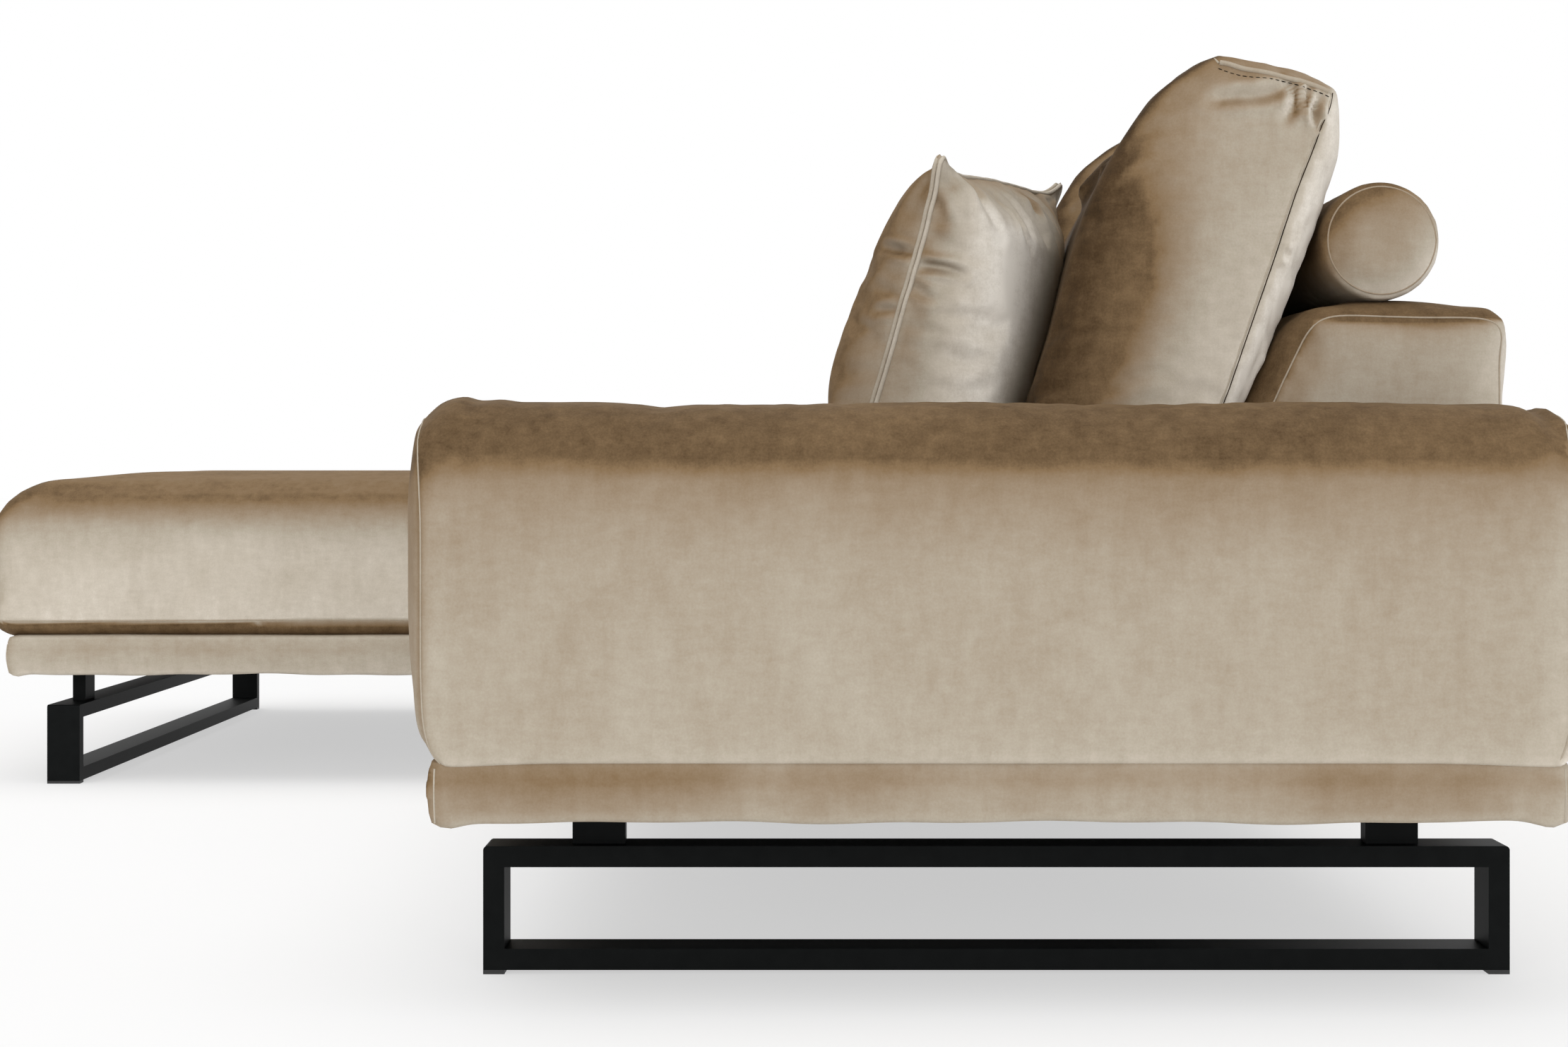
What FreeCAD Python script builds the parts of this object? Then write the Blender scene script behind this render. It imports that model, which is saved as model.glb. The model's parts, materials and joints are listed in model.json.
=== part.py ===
import FreeCAD, Part
import math
import os

os.makedirs("parts", exist_ok=True)

# A lounge sofa with one arm and a chaise: sizes in millimetres, angles in degrees.
# +X runs along the sofa towards the arm, +Y towards the back and +Z up.
# The origin is on the floor, midway along the sofa and midway from the chaise front to the backrest's rear.

# Whole sofa
sofa_length = 2920.0
sofa_depth = 1933.0

# Upholstered base of both modules
base_underside = 170.0
base_thickness = 54.0
base_end_inset = 8.0
base_rear_inset = 18.0
main_base_depth = 982.0
chaise_base_width = 1262.0
chaise_front_overhang = 31.0
module_gap = 10.0
panel_padding = 10.0
panel_lip = 30.0
panel_lip_thickness = 8.0
panel_edge_radius = 12.0
panel_swell = 6.0

# Timber inside the base
rail_width = 40.0
bearer_depth = 32.0
bearer_width = 66.0
middle_bearer_width = 60.0
strap_pitch = 90.0
strap_thickness = 2.5
dust_cover_thickness = 1.2

# Arm
arm_width = 240.0
arm_height = 538.0
arm_front_overhang = 41.0
arm_rear_overhang = 15.5
arm_end_swell = 30.0
arm_top_drop = 66.0
arm_front_top_radius = 40.0
arm_rear_top_radius = 46.0
arm_low_radius = 25.0
arm_frame_width = 100.0
arm_frame_height = 250.0
arm_frame_end_cover = 62.0
frame_board = 45.0

# Backrest
backrest_height = 631.0
backrest_slope = 28.0
backrest_top_depth = 186.4
backrest_front_radius = 35.0
backrest_rear_radius = 20.0
backrest_swell = 11.0
backrest_arm_gap = 5.0
back_frame_top = 560.0
back_post_spacing = 360.0
back_post_width = 40.0
back_frame_end_cover = 30.0

# Seat cushions
main_seat_crown = 468.0
chaise_seat_crown = 481.0
main_seat_front_overhang = 18.0
main_crown_reach = 190.0
chaise_crown_reach = 260.0
seat_corner_radius = 32.0
seat_side_pull = 5.0
seat_gap = 2.0
foam_core_inset = 60.0
foam_core_top_cover = 72.0
foam_core_bottom_cover = 30.0

# Loose back cushions
back_cushion_count = 4
back_cushion_gap = 3.0
back_cushion_arm_gap = 12.0
back_cushion_bottom = 457.0
back_cushion_top = 884.0
back_cushion_front_foot = 484.0
back_cushion_rear_foot = 668.0
back_cushion_front_swell = 5.0
back_cushion_rear_swell = 26.0
back_cushion_end_tuck = 5.0

# Bolster
bolster_diameter = 116.5
bolster_length = 680.0
bolster_arm_distance = 264.0
bolster_rear_distance = 117.0
bolster_end_dome = 9.0
bolster_edge_radius = 7.0

# Throw pillow
pillow_width = 430.0
pillow_height = 345.0
pillow_front_bulge = 80.0
pillow_rear_bulge = 14.0
pillow_side_pull = 17.0
pillow_corner_radius = 12.0
pillow_yaw = -22.0
pillow_lean = -15.0
pillow_arm_distance = 516.0
pillow_rear_distance = 620.0

# Sled legs of rectangular steel tube
sled_height = 121.0
sled_tube_thickness = 20.0
sled_tube_width = 50.0
sled_tube_wall = 2.0
sled_corner_radius = 4.0
main_sled_front_inset = 18.0
chaise_sled_end_inset = 6.0
sled_rear_reach = 5.0
arm_sled_inset = 190.0
joint_sled_inset = 140.0
chaise_sled_front_inset = 59.0
chaise_sled_rear_inset = 140.0
riser_end_distance = 83.0
glide_thickness = 4.0
glide_plug_depth = 16.0
plate_length = 110.0
plate_width = 60.0
plate_thickness = 4.0
plate_screw_spacing = 84.0

# Fasteners and fits
screw_radius = 2.7
screw_head_radius = 5.0
screw_head_height = 2.2
screw_grip = 24.0
bolt_radius = 4.0
bolt_head_across_flats = 13.0
bolt_head_height = 5.3
bolt_grip = 30.0
hole_clearance = 0.3
soft_clearance = 0.3
settling_height = 30.0
joining_plate_length = 110.0
joining_plate_width = 60.0
joining_plate_thickness = 3.0

# Levels and lines that follow from the sizes above
base_top = base_underside + base_thickness
rail_bottom = base_underside + panel_lip_thickness
rail_top = base_top - panel_lip_thickness
bearer_top = rail_bottom + bearer_depth
plate_top = rail_bottom - dust_cover_thickness
plate_bottom = plate_top - plate_thickness
pad_bottom = base_top + soft_clearance
rear_y = sofa_depth / 2
front_y = -sofa_depth / 2
arm_face_x = sofa_length / 2
arm_inner_x = arm_face_x - arm_width
main_outer_x = arm_face_x - base_end_inset
chaise_outer_x = -sofa_length / 2 + base_end_inset
chaise_inner_x = chaise_outer_x + chaise_base_width
main_joint_x = chaise_inner_x + module_gap
base_back_y = rear_y - base_rear_inset
main_front_y = base_back_y - main_base_depth
chaise_front_y = front_y + chaise_front_overhang
slope_run = math.tan(math.radians(backrest_slope))
post_rear_y = base_back_y - panel_padding - rail_width
post_front_y = post_rear_y - frame_board
main_sled_length = main_base_depth - main_sled_front_inset + sled_rear_reach
chaise_sled_length = chaise_base_width - 2 * chaise_sled_end_inset


def point(x, y, z):
    return FreeCAD.Vector(x, y, z)


def line(start, end):
    return Part.LineSegment(start, end).toShape()


def arc(start, middle, end):
    return Part.Arc(start, middle, end).toShape()


def block(x0, x1, y0, y1, z0, z1):
    corner = point(min(x0, x1), min(y0, y1), z0)
    return Part.makeBox(abs(x1 - x0), abs(y1 - y0), z1 - z0, corner)


def prism(points, direction):
    outline = Part.makePolygon(points + points[:1])
    return Part.Face(outline).extrude(direction)


def joined(shapes):
    whole = shapes[0]
    for shape in shapes[1:]:
        whole = whole.fuse(shape)
    return whole.removeSplitter()


def through(wires):
    solid = Part.makeLoft(wires, True, False)
    if solid.Volume < 0:
        solid.reverse()
    return solid


def drilled(shape, cutters):
    near = []
    for cutter in cutters:
        if shape.BoundBox.intersect(cutter.BoundBox):
            near.append(cutter)
    if near:
        return shape.cut(Part.makeCompound(near))
    return shape


def save(name, shapes):
    if len(shapes) == 1:
        shape = shapes[0]
    else:
        shape = Part.makeCompound(shapes)
    shape.exportStep("parts/" + name + ".step")


# Base panels: a padded strip of fabric wraps the outer side of each rail.
def panel_profile(place):
    z0 = base_underside
    z1 = base_top
    r = panel_edge_radius
    bend = r * (1 - math.cos(math.radians(45)))
    lip = panel_lip
    low = rail_bottom
    high = rail_top
    middle = (z0 + z1) / 2
    edges = [
        line(place(lip, z1), place(r, z1)),
        arc(place(r, z1), place(bend, z1 - bend), place(0, z1 - r)),
        arc(place(0, z1 - r), place(-panel_swell, middle), place(0, z0 + r)),
        arc(place(0, z0 + r), place(bend, z0 + bend), place(r, z0)),
        line(place(r, z0), place(lip, z0)),
        line(place(lip, z0), place(lip, low)),
        line(place(lip, low), place(panel_padding, low)),
        line(place(panel_padding, low), place(panel_padding, high)),
        line(place(panel_padding, high), place(lip, high)),
        line(place(lip, high), place(lip, z1)),
    ]
    return Part.Face(Part.Wire(edges))


def base_panel(start, end, inward, start_mitre, end_mitre):
    along = (end - start).normalize()
    spare = 2 * panel_swell
    first = start - along * spare

    def place(depth, z):
        spot = first + inward * depth
        return point(spot.x, spot.y, z)

    run = along * ((end - start).Length + 2 * spare)
    strip = panel_profile(place).extrude(run)
    reach = panel_lip + 1
    corners = [
        start - inward * spare - along * (spare * start_mitre),
        end - inward * spare + along * (spare * end_mitre),
        end + inward * reach - along * (reach * end_mitre),
        start + inward * reach + along * (reach * start_mitre),
    ]
    floor = []
    for corner in corners:
        floor.append(point(corner.x, corner.y, base_underside - 1))
    trim = prism(floor, point(0, 0, base_thickness + 2))
    return strip.common(trim)


main_front_panel = base_panel(
    point(main_joint_x, main_front_y, 0), point(main_outer_x, main_front_y, 0), point(0, 1, 0), 0, 1
)
main_back_panel = base_panel(
    point(main_joint_x, base_back_y, 0), point(main_outer_x, base_back_y, 0), point(0, -1, 0), 0, 1
)
main_arm_end_panel = base_panel(
    point(main_outer_x, main_front_y, 0), point(main_outer_x, base_back_y, 0), point(-1, 0, 0), 1, 1
)
chaise_front_panel = base_panel(
    point(chaise_outer_x, chaise_front_y, 0), point(chaise_inner_x, chaise_front_y, 0), point(0, 1, 0), 1, 1
)
chaise_back_panel = base_panel(
    point(chaise_outer_x, base_back_y, 0), point(chaise_inner_x, base_back_y, 0), point(0, -1, 0), 1, 1
)
chaise_outer_panel = base_panel(
    point(chaise_outer_x, chaise_front_y, 0), point(chaise_outer_x, base_back_y, 0), point(1, 0, 0), 1, 1
)
chaise_inner_panel = base_panel(
    point(chaise_inner_x, chaise_front_y, 0), point(chaise_inner_x, base_back_y, 0), point(-1, 0, 0), 1, 1
)

# Rails: front and back rails run the full length, end rails stand between them.
rail_front_main = main_front_y + panel_padding
rail_front_chaise = chaise_front_y + panel_padding
rail_back = base_back_y - panel_padding
rail_main_outer = main_outer_x - panel_padding
rail_chaise_outer = chaise_outer_x + panel_padding
rail_chaise_inner = chaise_inner_x - panel_padding
main_inside_front = rail_front_main + rail_width
chaise_inside_front = rail_front_chaise + rail_width
inside_back = rail_back - rail_width


def rail(x0, x1, y0, y1):
    return block(x0, x1, y0, y1, rail_bottom, rail_top)


main_front_rail = rail(main_joint_x, rail_main_outer, rail_front_main, main_inside_front)
main_back_rail = rail(main_joint_x, rail_main_outer, inside_back, rail_back)
main_arm_end_rail = rail(rail_main_outer - rail_width, rail_main_outer, main_inside_front, inside_back)
main_joint_end_rail = rail(main_joint_x, main_joint_x + rail_width, main_inside_front, inside_back)
chaise_front_rail = rail(rail_chaise_outer, rail_chaise_inner, rail_front_chaise, chaise_inside_front)
chaise_back_rail = rail(rail_chaise_outer, rail_chaise_inner, inside_back, rail_back)
chaise_outer_rail = rail(
    rail_chaise_outer, rail_chaise_outer + rail_width, chaise_inside_front, inside_back
)
chaise_inner_rail = rail(
    rail_chaise_inner - rail_width, rail_chaise_inner, chaise_inside_front, inside_back
)

# Sled positions across the base, at the middle of each tube
arm_sled_x = arm_face_x - arm_sled_inset - sled_tube_width / 2
joint_sled_x = main_joint_x + joint_sled_inset + sled_tube_width / 2
chaise_front_sled_y = chaise_front_y + chaise_sled_front_inset + sled_tube_width / 2
chaise_rear_sled_y = base_back_y - chaise_sled_rear_inset - sled_tube_width / 2
chaise_middle_x = (chaise_outer_x + chaise_inner_x) / 2

# Bearers carry the legs and the arm, and stay under the webbing.
arm_frame_x0 = arm_face_x - (arm_width + arm_frame_width) / 2
arm_frame_x1 = arm_frame_x0 + arm_frame_width


def main_bearer(x0, x1, top):
    return block(x0, x1, main_inside_front, inside_back, rail_bottom, top)


def chaise_bearer(y):
    x0 = rail_chaise_outer + rail_width
    x1 = rail_chaise_inner - rail_width
    return block(x0, x1, y - bearer_width / 2, y + bearer_width / 2, rail_bottom, bearer_top)


middle_x = (arm_sled_x + joint_sled_x) / 2
arm_bearer = main_bearer(arm_frame_x0, arm_frame_x1, rail_top)
arm_sled_bearer = main_bearer(arm_sled_x - bearer_width / 2, arm_sled_x + bearer_width / 2, bearer_top)
middle_bearer = main_bearer(middle_x - middle_bearer_width / 2, middle_x + middle_bearer_width / 2, bearer_top)
joint_sled_bearer = main_bearer(
    joint_sled_x - bearer_width / 2, joint_sled_x + bearer_width / 2, bearer_top
)
chaise_bearers = []
for y in (chaise_front_sled_y, (chaise_front_sled_y + chaise_rear_sled_y) / 2, chaise_rear_sled_y):
    chaise_bearers.append(chaise_bearer(y))

# Backrest posts stand against the inner side of the back rail.
main_post_first = joint_sled_x + bearer_width / 2 + back_post_width
main_posts = []
post_x = main_post_first
while post_x < arm_sled_x - bearer_width / 2 - back_post_width / 2:
    clear = abs(post_x - middle_x) > (middle_bearer_width + back_post_width) / 2
    if clear:
        main_posts.append(post_x)
    post_x = post_x + back_post_spacing
chaise_post_first = rail_chaise_outer + rail_width + back_post_width
chaise_posts = []
post_x = chaise_post_first
while post_x < rail_chaise_inner - rail_width - back_post_width / 2:
    chaise_posts.append(post_x)
    post_x = post_x + back_post_spacing

# Elastic webbing is stretched over the inner half of the rails.
strap_width = strap_pitch - back_post_width - 4
strap_top = rail_top + strap_thickness
lap = rail_width - (panel_lip - panel_padding)


def strap(x0, x1, y0, y1):
    return block(x0, x1, y0, y1, rail_top, strap_top)


main_straps = []
strap_x = main_post_first - strap_pitch * 1.5
while strap_x + strap_width / 2 < arm_inner_x - seat_gap:
    y0 = main_inside_front - lap
    y1 = inside_back + lap
    main_straps.append(strap(strap_x - strap_width / 2, strap_x + strap_width / 2, y0, y1))
    strap_x = strap_x + strap_pitch
chaise_straps = []
strap_y = chaise_inside_front + strap_pitch / 2
while strap_y + strap_width / 2 < post_front_y:
    x0 = rail_chaise_outer + rail_width - lap
    x1 = rail_chaise_inner - rail_width + lap
    chaise_straps.append(strap(x0, x1, strap_y - strap_width / 2, strap_y + strap_width / 2))
    strap_y = strap_y + strap_pitch

# Dust covers close the base from below, inside the panel lips.
main_dust_cover = block(
    main_joint_x + rail_width / 2,
    main_outer_x - panel_lip,
    main_front_y + panel_lip,
    base_back_y - panel_lip,
    plate_top,
    rail_bottom,
)
chaise_dust_cover = block(
    chaise_outer_x + panel_lip,
    chaise_inner_x - panel_lip,
    chaise_front_y + panel_lip,
    base_back_y - panel_lip,
    plate_top,
    rail_bottom,
)


# Sled legs: mitred tubes in the plane of the loop, built along +Y and then placed.
def tube(outer, inner):
    half = sled_tube_width / 2
    bore = half - sled_tube_wall
    shell = prism([point(-half, s, z) for s, z in outer], point(2 * half, 0, 0))
    hollow = prism([point(-bore, s, z) for s, z in inner], point(2 * bore, 0, 0))
    return shell.cut(hollow)


def corner_waste(s, side):
    r = sled_corner_radius
    half = sled_tube_width / 2 + 1
    waste = block(-half, half, s, s + side * r, sled_height - r, sled_height + 1)
    round_end = Part.makeCylinder(r, 2 * half, point(-half, s + side * r, sled_height - r), point(1, 0, 0))
    return waste.cut(round_end)


def sled_tubes(length):
    t = sled_tube_thickness
    w = sled_tube_wall
    top = sled_height
    low = glide_thickness
    waste = [corner_waste(0, 1), corner_waste(length, -1)]
    top_bar = tube(
        [(0, top), (length, top), (length - t, top - t), (t, top - t)],
        [(w, top - w), (length - w, top - w), (length - t + w, top - t + w), (t - w, top - t + w)],
    )
    near_post = tube(
        [(0, low), (t, low), (t, top - t), (0, top)],
        [(w, low), (t - w, low), (t - w, top - t + w), (w, top - w)],
    )
    far_post = tube(
        [(length - t, low), (length, low), (length, top), (length - t, top - t)],
        [(length - t + w, low), (length - w, low), (length - w, top - w), (length - t + w, top - t + w)],
    )
    bottom_bar = tube(
        [(t, low), (length - t, low), (length - t, low + t), (t, low + t)],
        [(t, low + w), (length - t, low + w), (length - t, low + t - w), (t, low + t - w)],
    )
    return [drilled(top_bar, waste), drilled(near_post, waste), drilled(far_post, waste), bottom_bar]


def riser_centres(length):
    reach = riser_end_distance + sled_tube_width / 2
    return [reach, length - reach]


def sled_risers(length):
    half_long = sled_tube_width / 2
    half_short = sled_tube_thickness / 2
    w = sled_tube_wall
    risers = []
    for s in riser_centres(length):
        shell = block(-half_short, half_short, s - half_long, s + half_long, sled_height, plate_bottom)
        bore = block(
            w - half_short, half_short - w, s - half_long + w, s + half_long - w, sled_height, plate_bottom
        )
        risers.append(shell.cut(bore))
    return risers


def screw_spots(length):
    spots = []
    for s in riser_centres(length):
        spots.append(s - plate_screw_spacing / 2)
        spots.append(s + plate_screw_spacing / 2)
    return spots


def screw_hole(x, y, z0, z1):
    return Part.makeCylinder(screw_radius + hole_clearance, z1 - z0, point(x, y, z0))


def screw(x, y, under, grip):
    head = Part.makeCylinder(screw_head_radius, screw_head_height, point(x, y, under - screw_head_height))
    shank = Part.makeCylinder(screw_radius, grip, point(x, y, under))
    return head.fuse(shank).removeSplitter()


def sled_plates(length):
    plates = []
    for s in riser_centres(length):
        plate = block(
            -plate_width / 2,
            plate_width / 2,
            s - plate_length / 2,
            s + plate_length / 2,
            plate_bottom,
            plate_top,
        )
        plates.append(plate)
    return plates


def sled_glides(length):
    t = sled_tube_thickness
    half = sled_tube_width / 2
    play = sled_tube_wall + hole_clearance
    glides = []
    for s in (0, length - t):
        foot = block(-half, half, s, s + t, 0, glide_thickness)
        plug = block(
            play - half,
            half - play,
            s + play,
            s + t - play,
            glide_thickness,
            glide_thickness + glide_plug_depth,
        )
        glides.append(foot.fuse(plug).removeSplitter())
    return glides


def placed(shapes, x, y, turn):
    moved = []
    for shape in shapes:
        copy = shape.copy()
        copy.rotate(point(0, 0, 0), point(0, 0, 1), turn)
        copy.translate(point(x, y, 0))
        moved.append(copy)
    return moved


main_sled_y = base_back_y + sled_rear_reach - main_sled_length
chaise_sled_x = chaise_middle_x + chaise_sled_length / 2
sled_places = {
    "arm_end_sled": (main_sled_length, arm_sled_x, main_sled_y, 0),
    "joint_end_sled": (main_sled_length, joint_sled_x, main_sled_y, 0),
    "chaise_front_sled": (chaise_sled_length, chaise_sled_x, chaise_front_sled_y, 90),
    "chaise_rear_sled": (chaise_sled_length, chaise_sled_x, chaise_rear_sled_y, 90),
}
risers = []
plates = []
glides = []
leg_screws = []
leg_holes = []
for name, (length, x, y, turn) in sled_places.items():
    save(name, placed(sled_tubes(length), x, y, turn))
    risers.extend(placed(sled_risers(length), x, y, turn))
    glides.extend(placed(sled_glides(length), x, y, turn))
    screws = []
    holes = []
    for s in screw_spots(length):
        screws.append(screw(0, s, plate_bottom, screw_grip))
        holes.append(screw_hole(0, s, plate_bottom - 1, plate_bottom + screw_grip + 1))
    leg_screws.extend(placed(screws, x, y, turn))
    placed_holes = placed(holes, x, y, turn)
    leg_holes.extend(placed_holes)
    for plate in placed(sled_plates(length), x, y, turn):
        plates.append(drilled(plate, placed_holes))
save("sled_risers", risers)
save("sled_mounting_plates", plates)
save("sled_glides", glides)
save("sled_screws", leg_screws)


# Hexagon bolts with a plain shank
def bolt(start, direction, grip):
    radius = bolt_head_across_flats / 2 / math.cos(math.radians(30))
    side = point(1, 0, 0)
    other = direction.cross(side)
    corners = []
    for step in range(6):
        turn = math.radians(60 * step)
        spot = start + side * (radius * math.cos(turn)) + other * (radius * math.sin(turn))
        corners.append(spot)
    head = prism(corners, direction * -bolt_head_height)
    shank = Part.makeCylinder(bolt_radius, grip, start, direction)
    return head.fuse(shank).removeSplitter()


def bolt_hole(start, direction, grip):
    first = start - direction
    return Part.makeCylinder(bolt_radius + hole_clearance, grip + 2, first, direction)


# Arm frame of glued boards, standing on the arm bearer
arm_frame_y0 = main_front_y + arm_frame_end_cover
arm_frame_y1 = base_back_y - arm_frame_end_cover
arm_frame_z1 = rail_top + arm_frame_height


def arm_board(y0, y1, z0, z1):
    return block(arm_frame_x0, arm_frame_x1, y0, y1, z0, z1)


arm_frame_middle = (arm_frame_y0 + arm_frame_y1) / 2
arm_frame = joined(
    [
        arm_board(arm_frame_y0, arm_frame_y1, rail_top, rail_top + frame_board),
        arm_board(arm_frame_y0, arm_frame_y1, arm_frame_z1 - frame_board, arm_frame_z1),
        arm_board(arm_frame_y0, arm_frame_y0 + frame_board, rail_top, arm_frame_z1),
        arm_board(arm_frame_middle - frame_board / 2, arm_frame_middle + frame_board / 2, rail_top, arm_frame_z1),
        arm_board(arm_frame_y1 - frame_board, arm_frame_y1, rail_top, arm_frame_z1),
    ]
)
arm_bolts = []
arm_holes = []
arm_bolt_grip = rail_top - plate_top + bolt_grip
for share in (0.12, 0.5, 0.88):
    y = arm_frame_y0 + share * (arm_frame_y1 - arm_frame_y0)
    start = point((arm_frame_x0 + arm_frame_x1) / 2, y, plate_top)
    arm_bolts.append(bolt(start, point(0, 0, 1), arm_bolt_grip))
    arm_holes.append(bolt_hole(start, point(0, 0, 1), arm_bolt_grip))
arm_frame = drilled(arm_frame, arm_holes)


# Arm upholstery: one padded slab whose near face rolls over the top
def arm_outline(x, drop, tuck):
    y0 = main_front_y - arm_front_overhang + tuck
    y1 = rear_y + arm_rear_overhang - tuck
    z0 = pad_bottom
    z1 = arm_height - drop
    low = arm_low_radius
    front = arm_front_top_radius - drop * 0.15
    back = arm_rear_top_radius + drop * 0.1
    bend = 1 - math.cos(math.radians(45))
    edges = [
        line(point(x, y0 + low, z0), point(x, y1 - low, z0)),
        arc(
            point(x, y1 - low, z0),
            point(x, y1 - low * bend, z0 + low * bend),
            point(x, y1, z0 + low),
        ),
        line(point(x, y1, z0 + low), point(x, y1, z1 - back)),
        arc(
            point(x, y1, z1 - back),
            point(x, y1 - back * bend, z1 - back * bend),
            point(x, y1 - back, z1),
        ),
        line(point(x, y1 - back, z1), point(x, y0 + front, z1)),
        arc(
            point(x, y0 + front, z1),
            point(x, y0 + front * bend, z1 - front * bend),
            point(x, y0, z1 - front),
        ),
        line(point(x, y0, z1 - front), point(x, y0, z0 + low)),
        arc(
            point(x, y0, z0 + low),
            point(x, y0 + low * bend, z0 + low * bend),
            point(x, y0 + low, z0),
        ),
    ]
    return Part.Wire(edges)


arm_stations = [(0.0, 1.0), (0.035, 0.6), (0.12, 0.25), (0.28, 0.05), (0.5, 0.0)]
for share, swell in arm_stations[-2::-1]:
    arm_stations.append((1 - share, swell))
arm_wires = []
for share, swell in arm_stations:
    tuck = arm_end_swell * (1 - 2 * share) ** 2
    arm_wires.append(arm_outline(arm_inner_x + share * arm_width, arm_top_drop * swell, tuck))
arm_core = block(arm_frame_x0, arm_frame_x1, arm_frame_y0, arm_frame_y1, rail_top, arm_frame_z1)
arm_upholstery = through(arm_wires).cut(arm_core)


# Backrest: a padded wedge with a sloping front, fuller between its end seams
def backrest_outline(x, swell):
    swell_out = backrest_swell * swell
    z0 = pad_bottom
    z1 = backrest_height + swell_out
    corner_y = rear_y - backrest_top_depth - swell_out * 0.6
    r = backrest_front_radius
    angle = math.radians(backrest_slope)
    reach = r * math.tan((math.pi / 2 - angle) / 2)
    slope_end_y = corner_y - reach * math.sin(angle)
    slope_end_z = z1 - reach * math.cos(angle)
    top_start_y = corner_y + reach
    half = (math.pi / 2 + angle) / 2
    middle_y = top_start_y - r * math.cos(half)
    middle_z = z1 - r + r * math.sin(half)
    foot_y = corner_y - (z1 - z0) * slope_run
    rear = backrest_rear_radius
    bend = 1 - math.cos(math.radians(45))
    edges = [
        line(point(x, foot_y, z0), point(x, slope_end_y, slope_end_z)),
        arc(
            point(x, slope_end_y, slope_end_z),
            point(x, middle_y, middle_z),
            point(x, top_start_y, z1),
        ),
        line(point(x, top_start_y, z1), point(x, rear_y - rear, z1)),
        arc(
            point(x, rear_y - rear, z1),
            point(x, rear_y - rear * bend, z1 - rear * bend),
            point(x, rear_y, z1 - rear),
        ),
        line(point(x, rear_y, z1 - rear), point(x, rear_y, z0)),
        line(point(x, rear_y, z0), point(x, foot_y, z0)),
    ]
    return Part.Wire(edges)


swell_stations = [(0.0, 0.0), (12.0, 0.45), (45.0, 0.8), (110.0, 0.96), (200.0, 1.0)]


def swelling(x0, x1, outline):
    wires = []
    for reach, swell in swell_stations:
        wires.append(outline(x0 + reach, swell))
    flat = x1 - x0 - 2 * swell_stations[-1][0]
    steps = max(2, round(flat / 150))
    for step in range(1, steps):
        wires.append(outline(x0 + swell_stations[-1][0] + flat * step / steps, 1.0))
    for reach, swell in swell_stations[::-1]:
        wires.append(outline(x1 - reach, swell))
    return through(wires)


# A loose piece comes to rest when it is moved until it almost meets its support.
def settled(shape, support, direction):
    for attempt in range(3):
        gap = shape.distToShape(support)[0]
        shape.translate(direction * (gap - soft_clearance))
    return shape


# A leaning piece comes to rest on what is under it and on what is behind it.
def leaned(shape, under, behind):
    shape.translate(point(0, 0, settling_height))
    for attempt in range(4):
        shape = settled(shape, under, point(0, 0, -1))
        shape = settled(shape, behind, point(0, 1, 0))
    return shape


def back_frame(x0, x1, posts):
    boards = [
        block(x0, x1, post_front_y, post_rear_y, pad_bottom + 4, pad_bottom + 4 + frame_board),
        block(x0, x1, post_front_y, post_rear_y, back_frame_top - frame_board, back_frame_top),
    ]
    half = back_post_width / 2
    for x in posts:
        boards.append(block(x - half, x + half, post_front_y, post_rear_y, rail_bottom, back_frame_top))
    return joined(boards)


back_bolts = []
back_holes = []
for x in main_posts + chaise_posts:
    start = point(x, post_front_y, (rail_bottom + rail_top) / 2)
    back_bolts.append(bolt(start, point(0, 1, 0), frame_board + bolt_grip))
    back_holes.append(bolt_hole(start, point(0, 1, 0), frame_board + bolt_grip))

main_back_x0 = main_joint_x
main_back_x1 = arm_inner_x - backrest_arm_gap
main_frame_x0 = main_back_x0 + back_frame_end_cover
main_frame_x1 = main_back_x1 - back_frame_end_cover
chaise_frame_x0 = chaise_outer_x + back_frame_end_cover
chaise_frame_x1 = chaise_inner_x - back_frame_end_cover
main_back_frame = drilled(back_frame(main_frame_x0, main_frame_x1, main_posts), back_holes)
chaise_back_frame = drilled(back_frame(chaise_frame_x0, chaise_frame_x1, chaise_posts), back_holes)


def back_core(x0, x1):
    return block(x0, x1, post_front_y, post_rear_y, pad_bottom - 1, back_frame_top)


main_back_upholstery = swelling(main_back_x0, main_back_x1, backrest_outline)
main_back_upholstery = main_back_upholstery.cut(back_core(main_frame_x0, main_frame_x1))
chaise_back_upholstery = swelling(chaise_outer_x, chaise_inner_x, backrest_outline)
chaise_back_upholstery = chaise_back_upholstery.cut(back_core(chaise_frame_x0, chaise_frame_x1))


# Seat cushions: crowned slabs with sides drawn in between the corners
def seat_outline(x0, x1, y0, y1, z, inset, pull):
    a0 = x0 + inset
    a1 = x1 - inset
    b0 = y0 + inset
    b1 = y1 - inset
    r = seat_corner_radius
    bend = r * (1 - math.cos(math.radians(45)))
    am = (a0 + a1) / 2
    bm = (b0 + b1) / 2
    edges = [
        arc(point(a0 + r, b0, z), point(am, b0 + pull, z), point(a1 - r, b0, z)),
        arc(point(a1 - r, b0, z), point(a1 - bend, b0 + bend, z), point(a1, b0 + r, z)),
        arc(point(a1, b0 + r, z), point(a1 - pull, bm, z), point(a1, b1 - r, z)),
        arc(point(a1, b1 - r, z), point(a1 - bend, b1 - bend, z), point(a1 - r, b1, z)),
        arc(point(a1 - r, b1, z), point(am, b1 - pull, z), point(a0 + r, b1, z)),
        arc(point(a0 + r, b1, z), point(a0 + bend, b1 - bend, z), point(a0, b1 - r, z)),
        arc(point(a0, b1 - r, z), point(a0 + pull, bm, z), point(a0, b0 + r, z)),
        arc(point(a0, b0 + r, z), point(a0 + bend, b0 + bend, z), point(a0 + r, b0, z)),
    ]
    return Part.Wire(edges)


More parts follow.
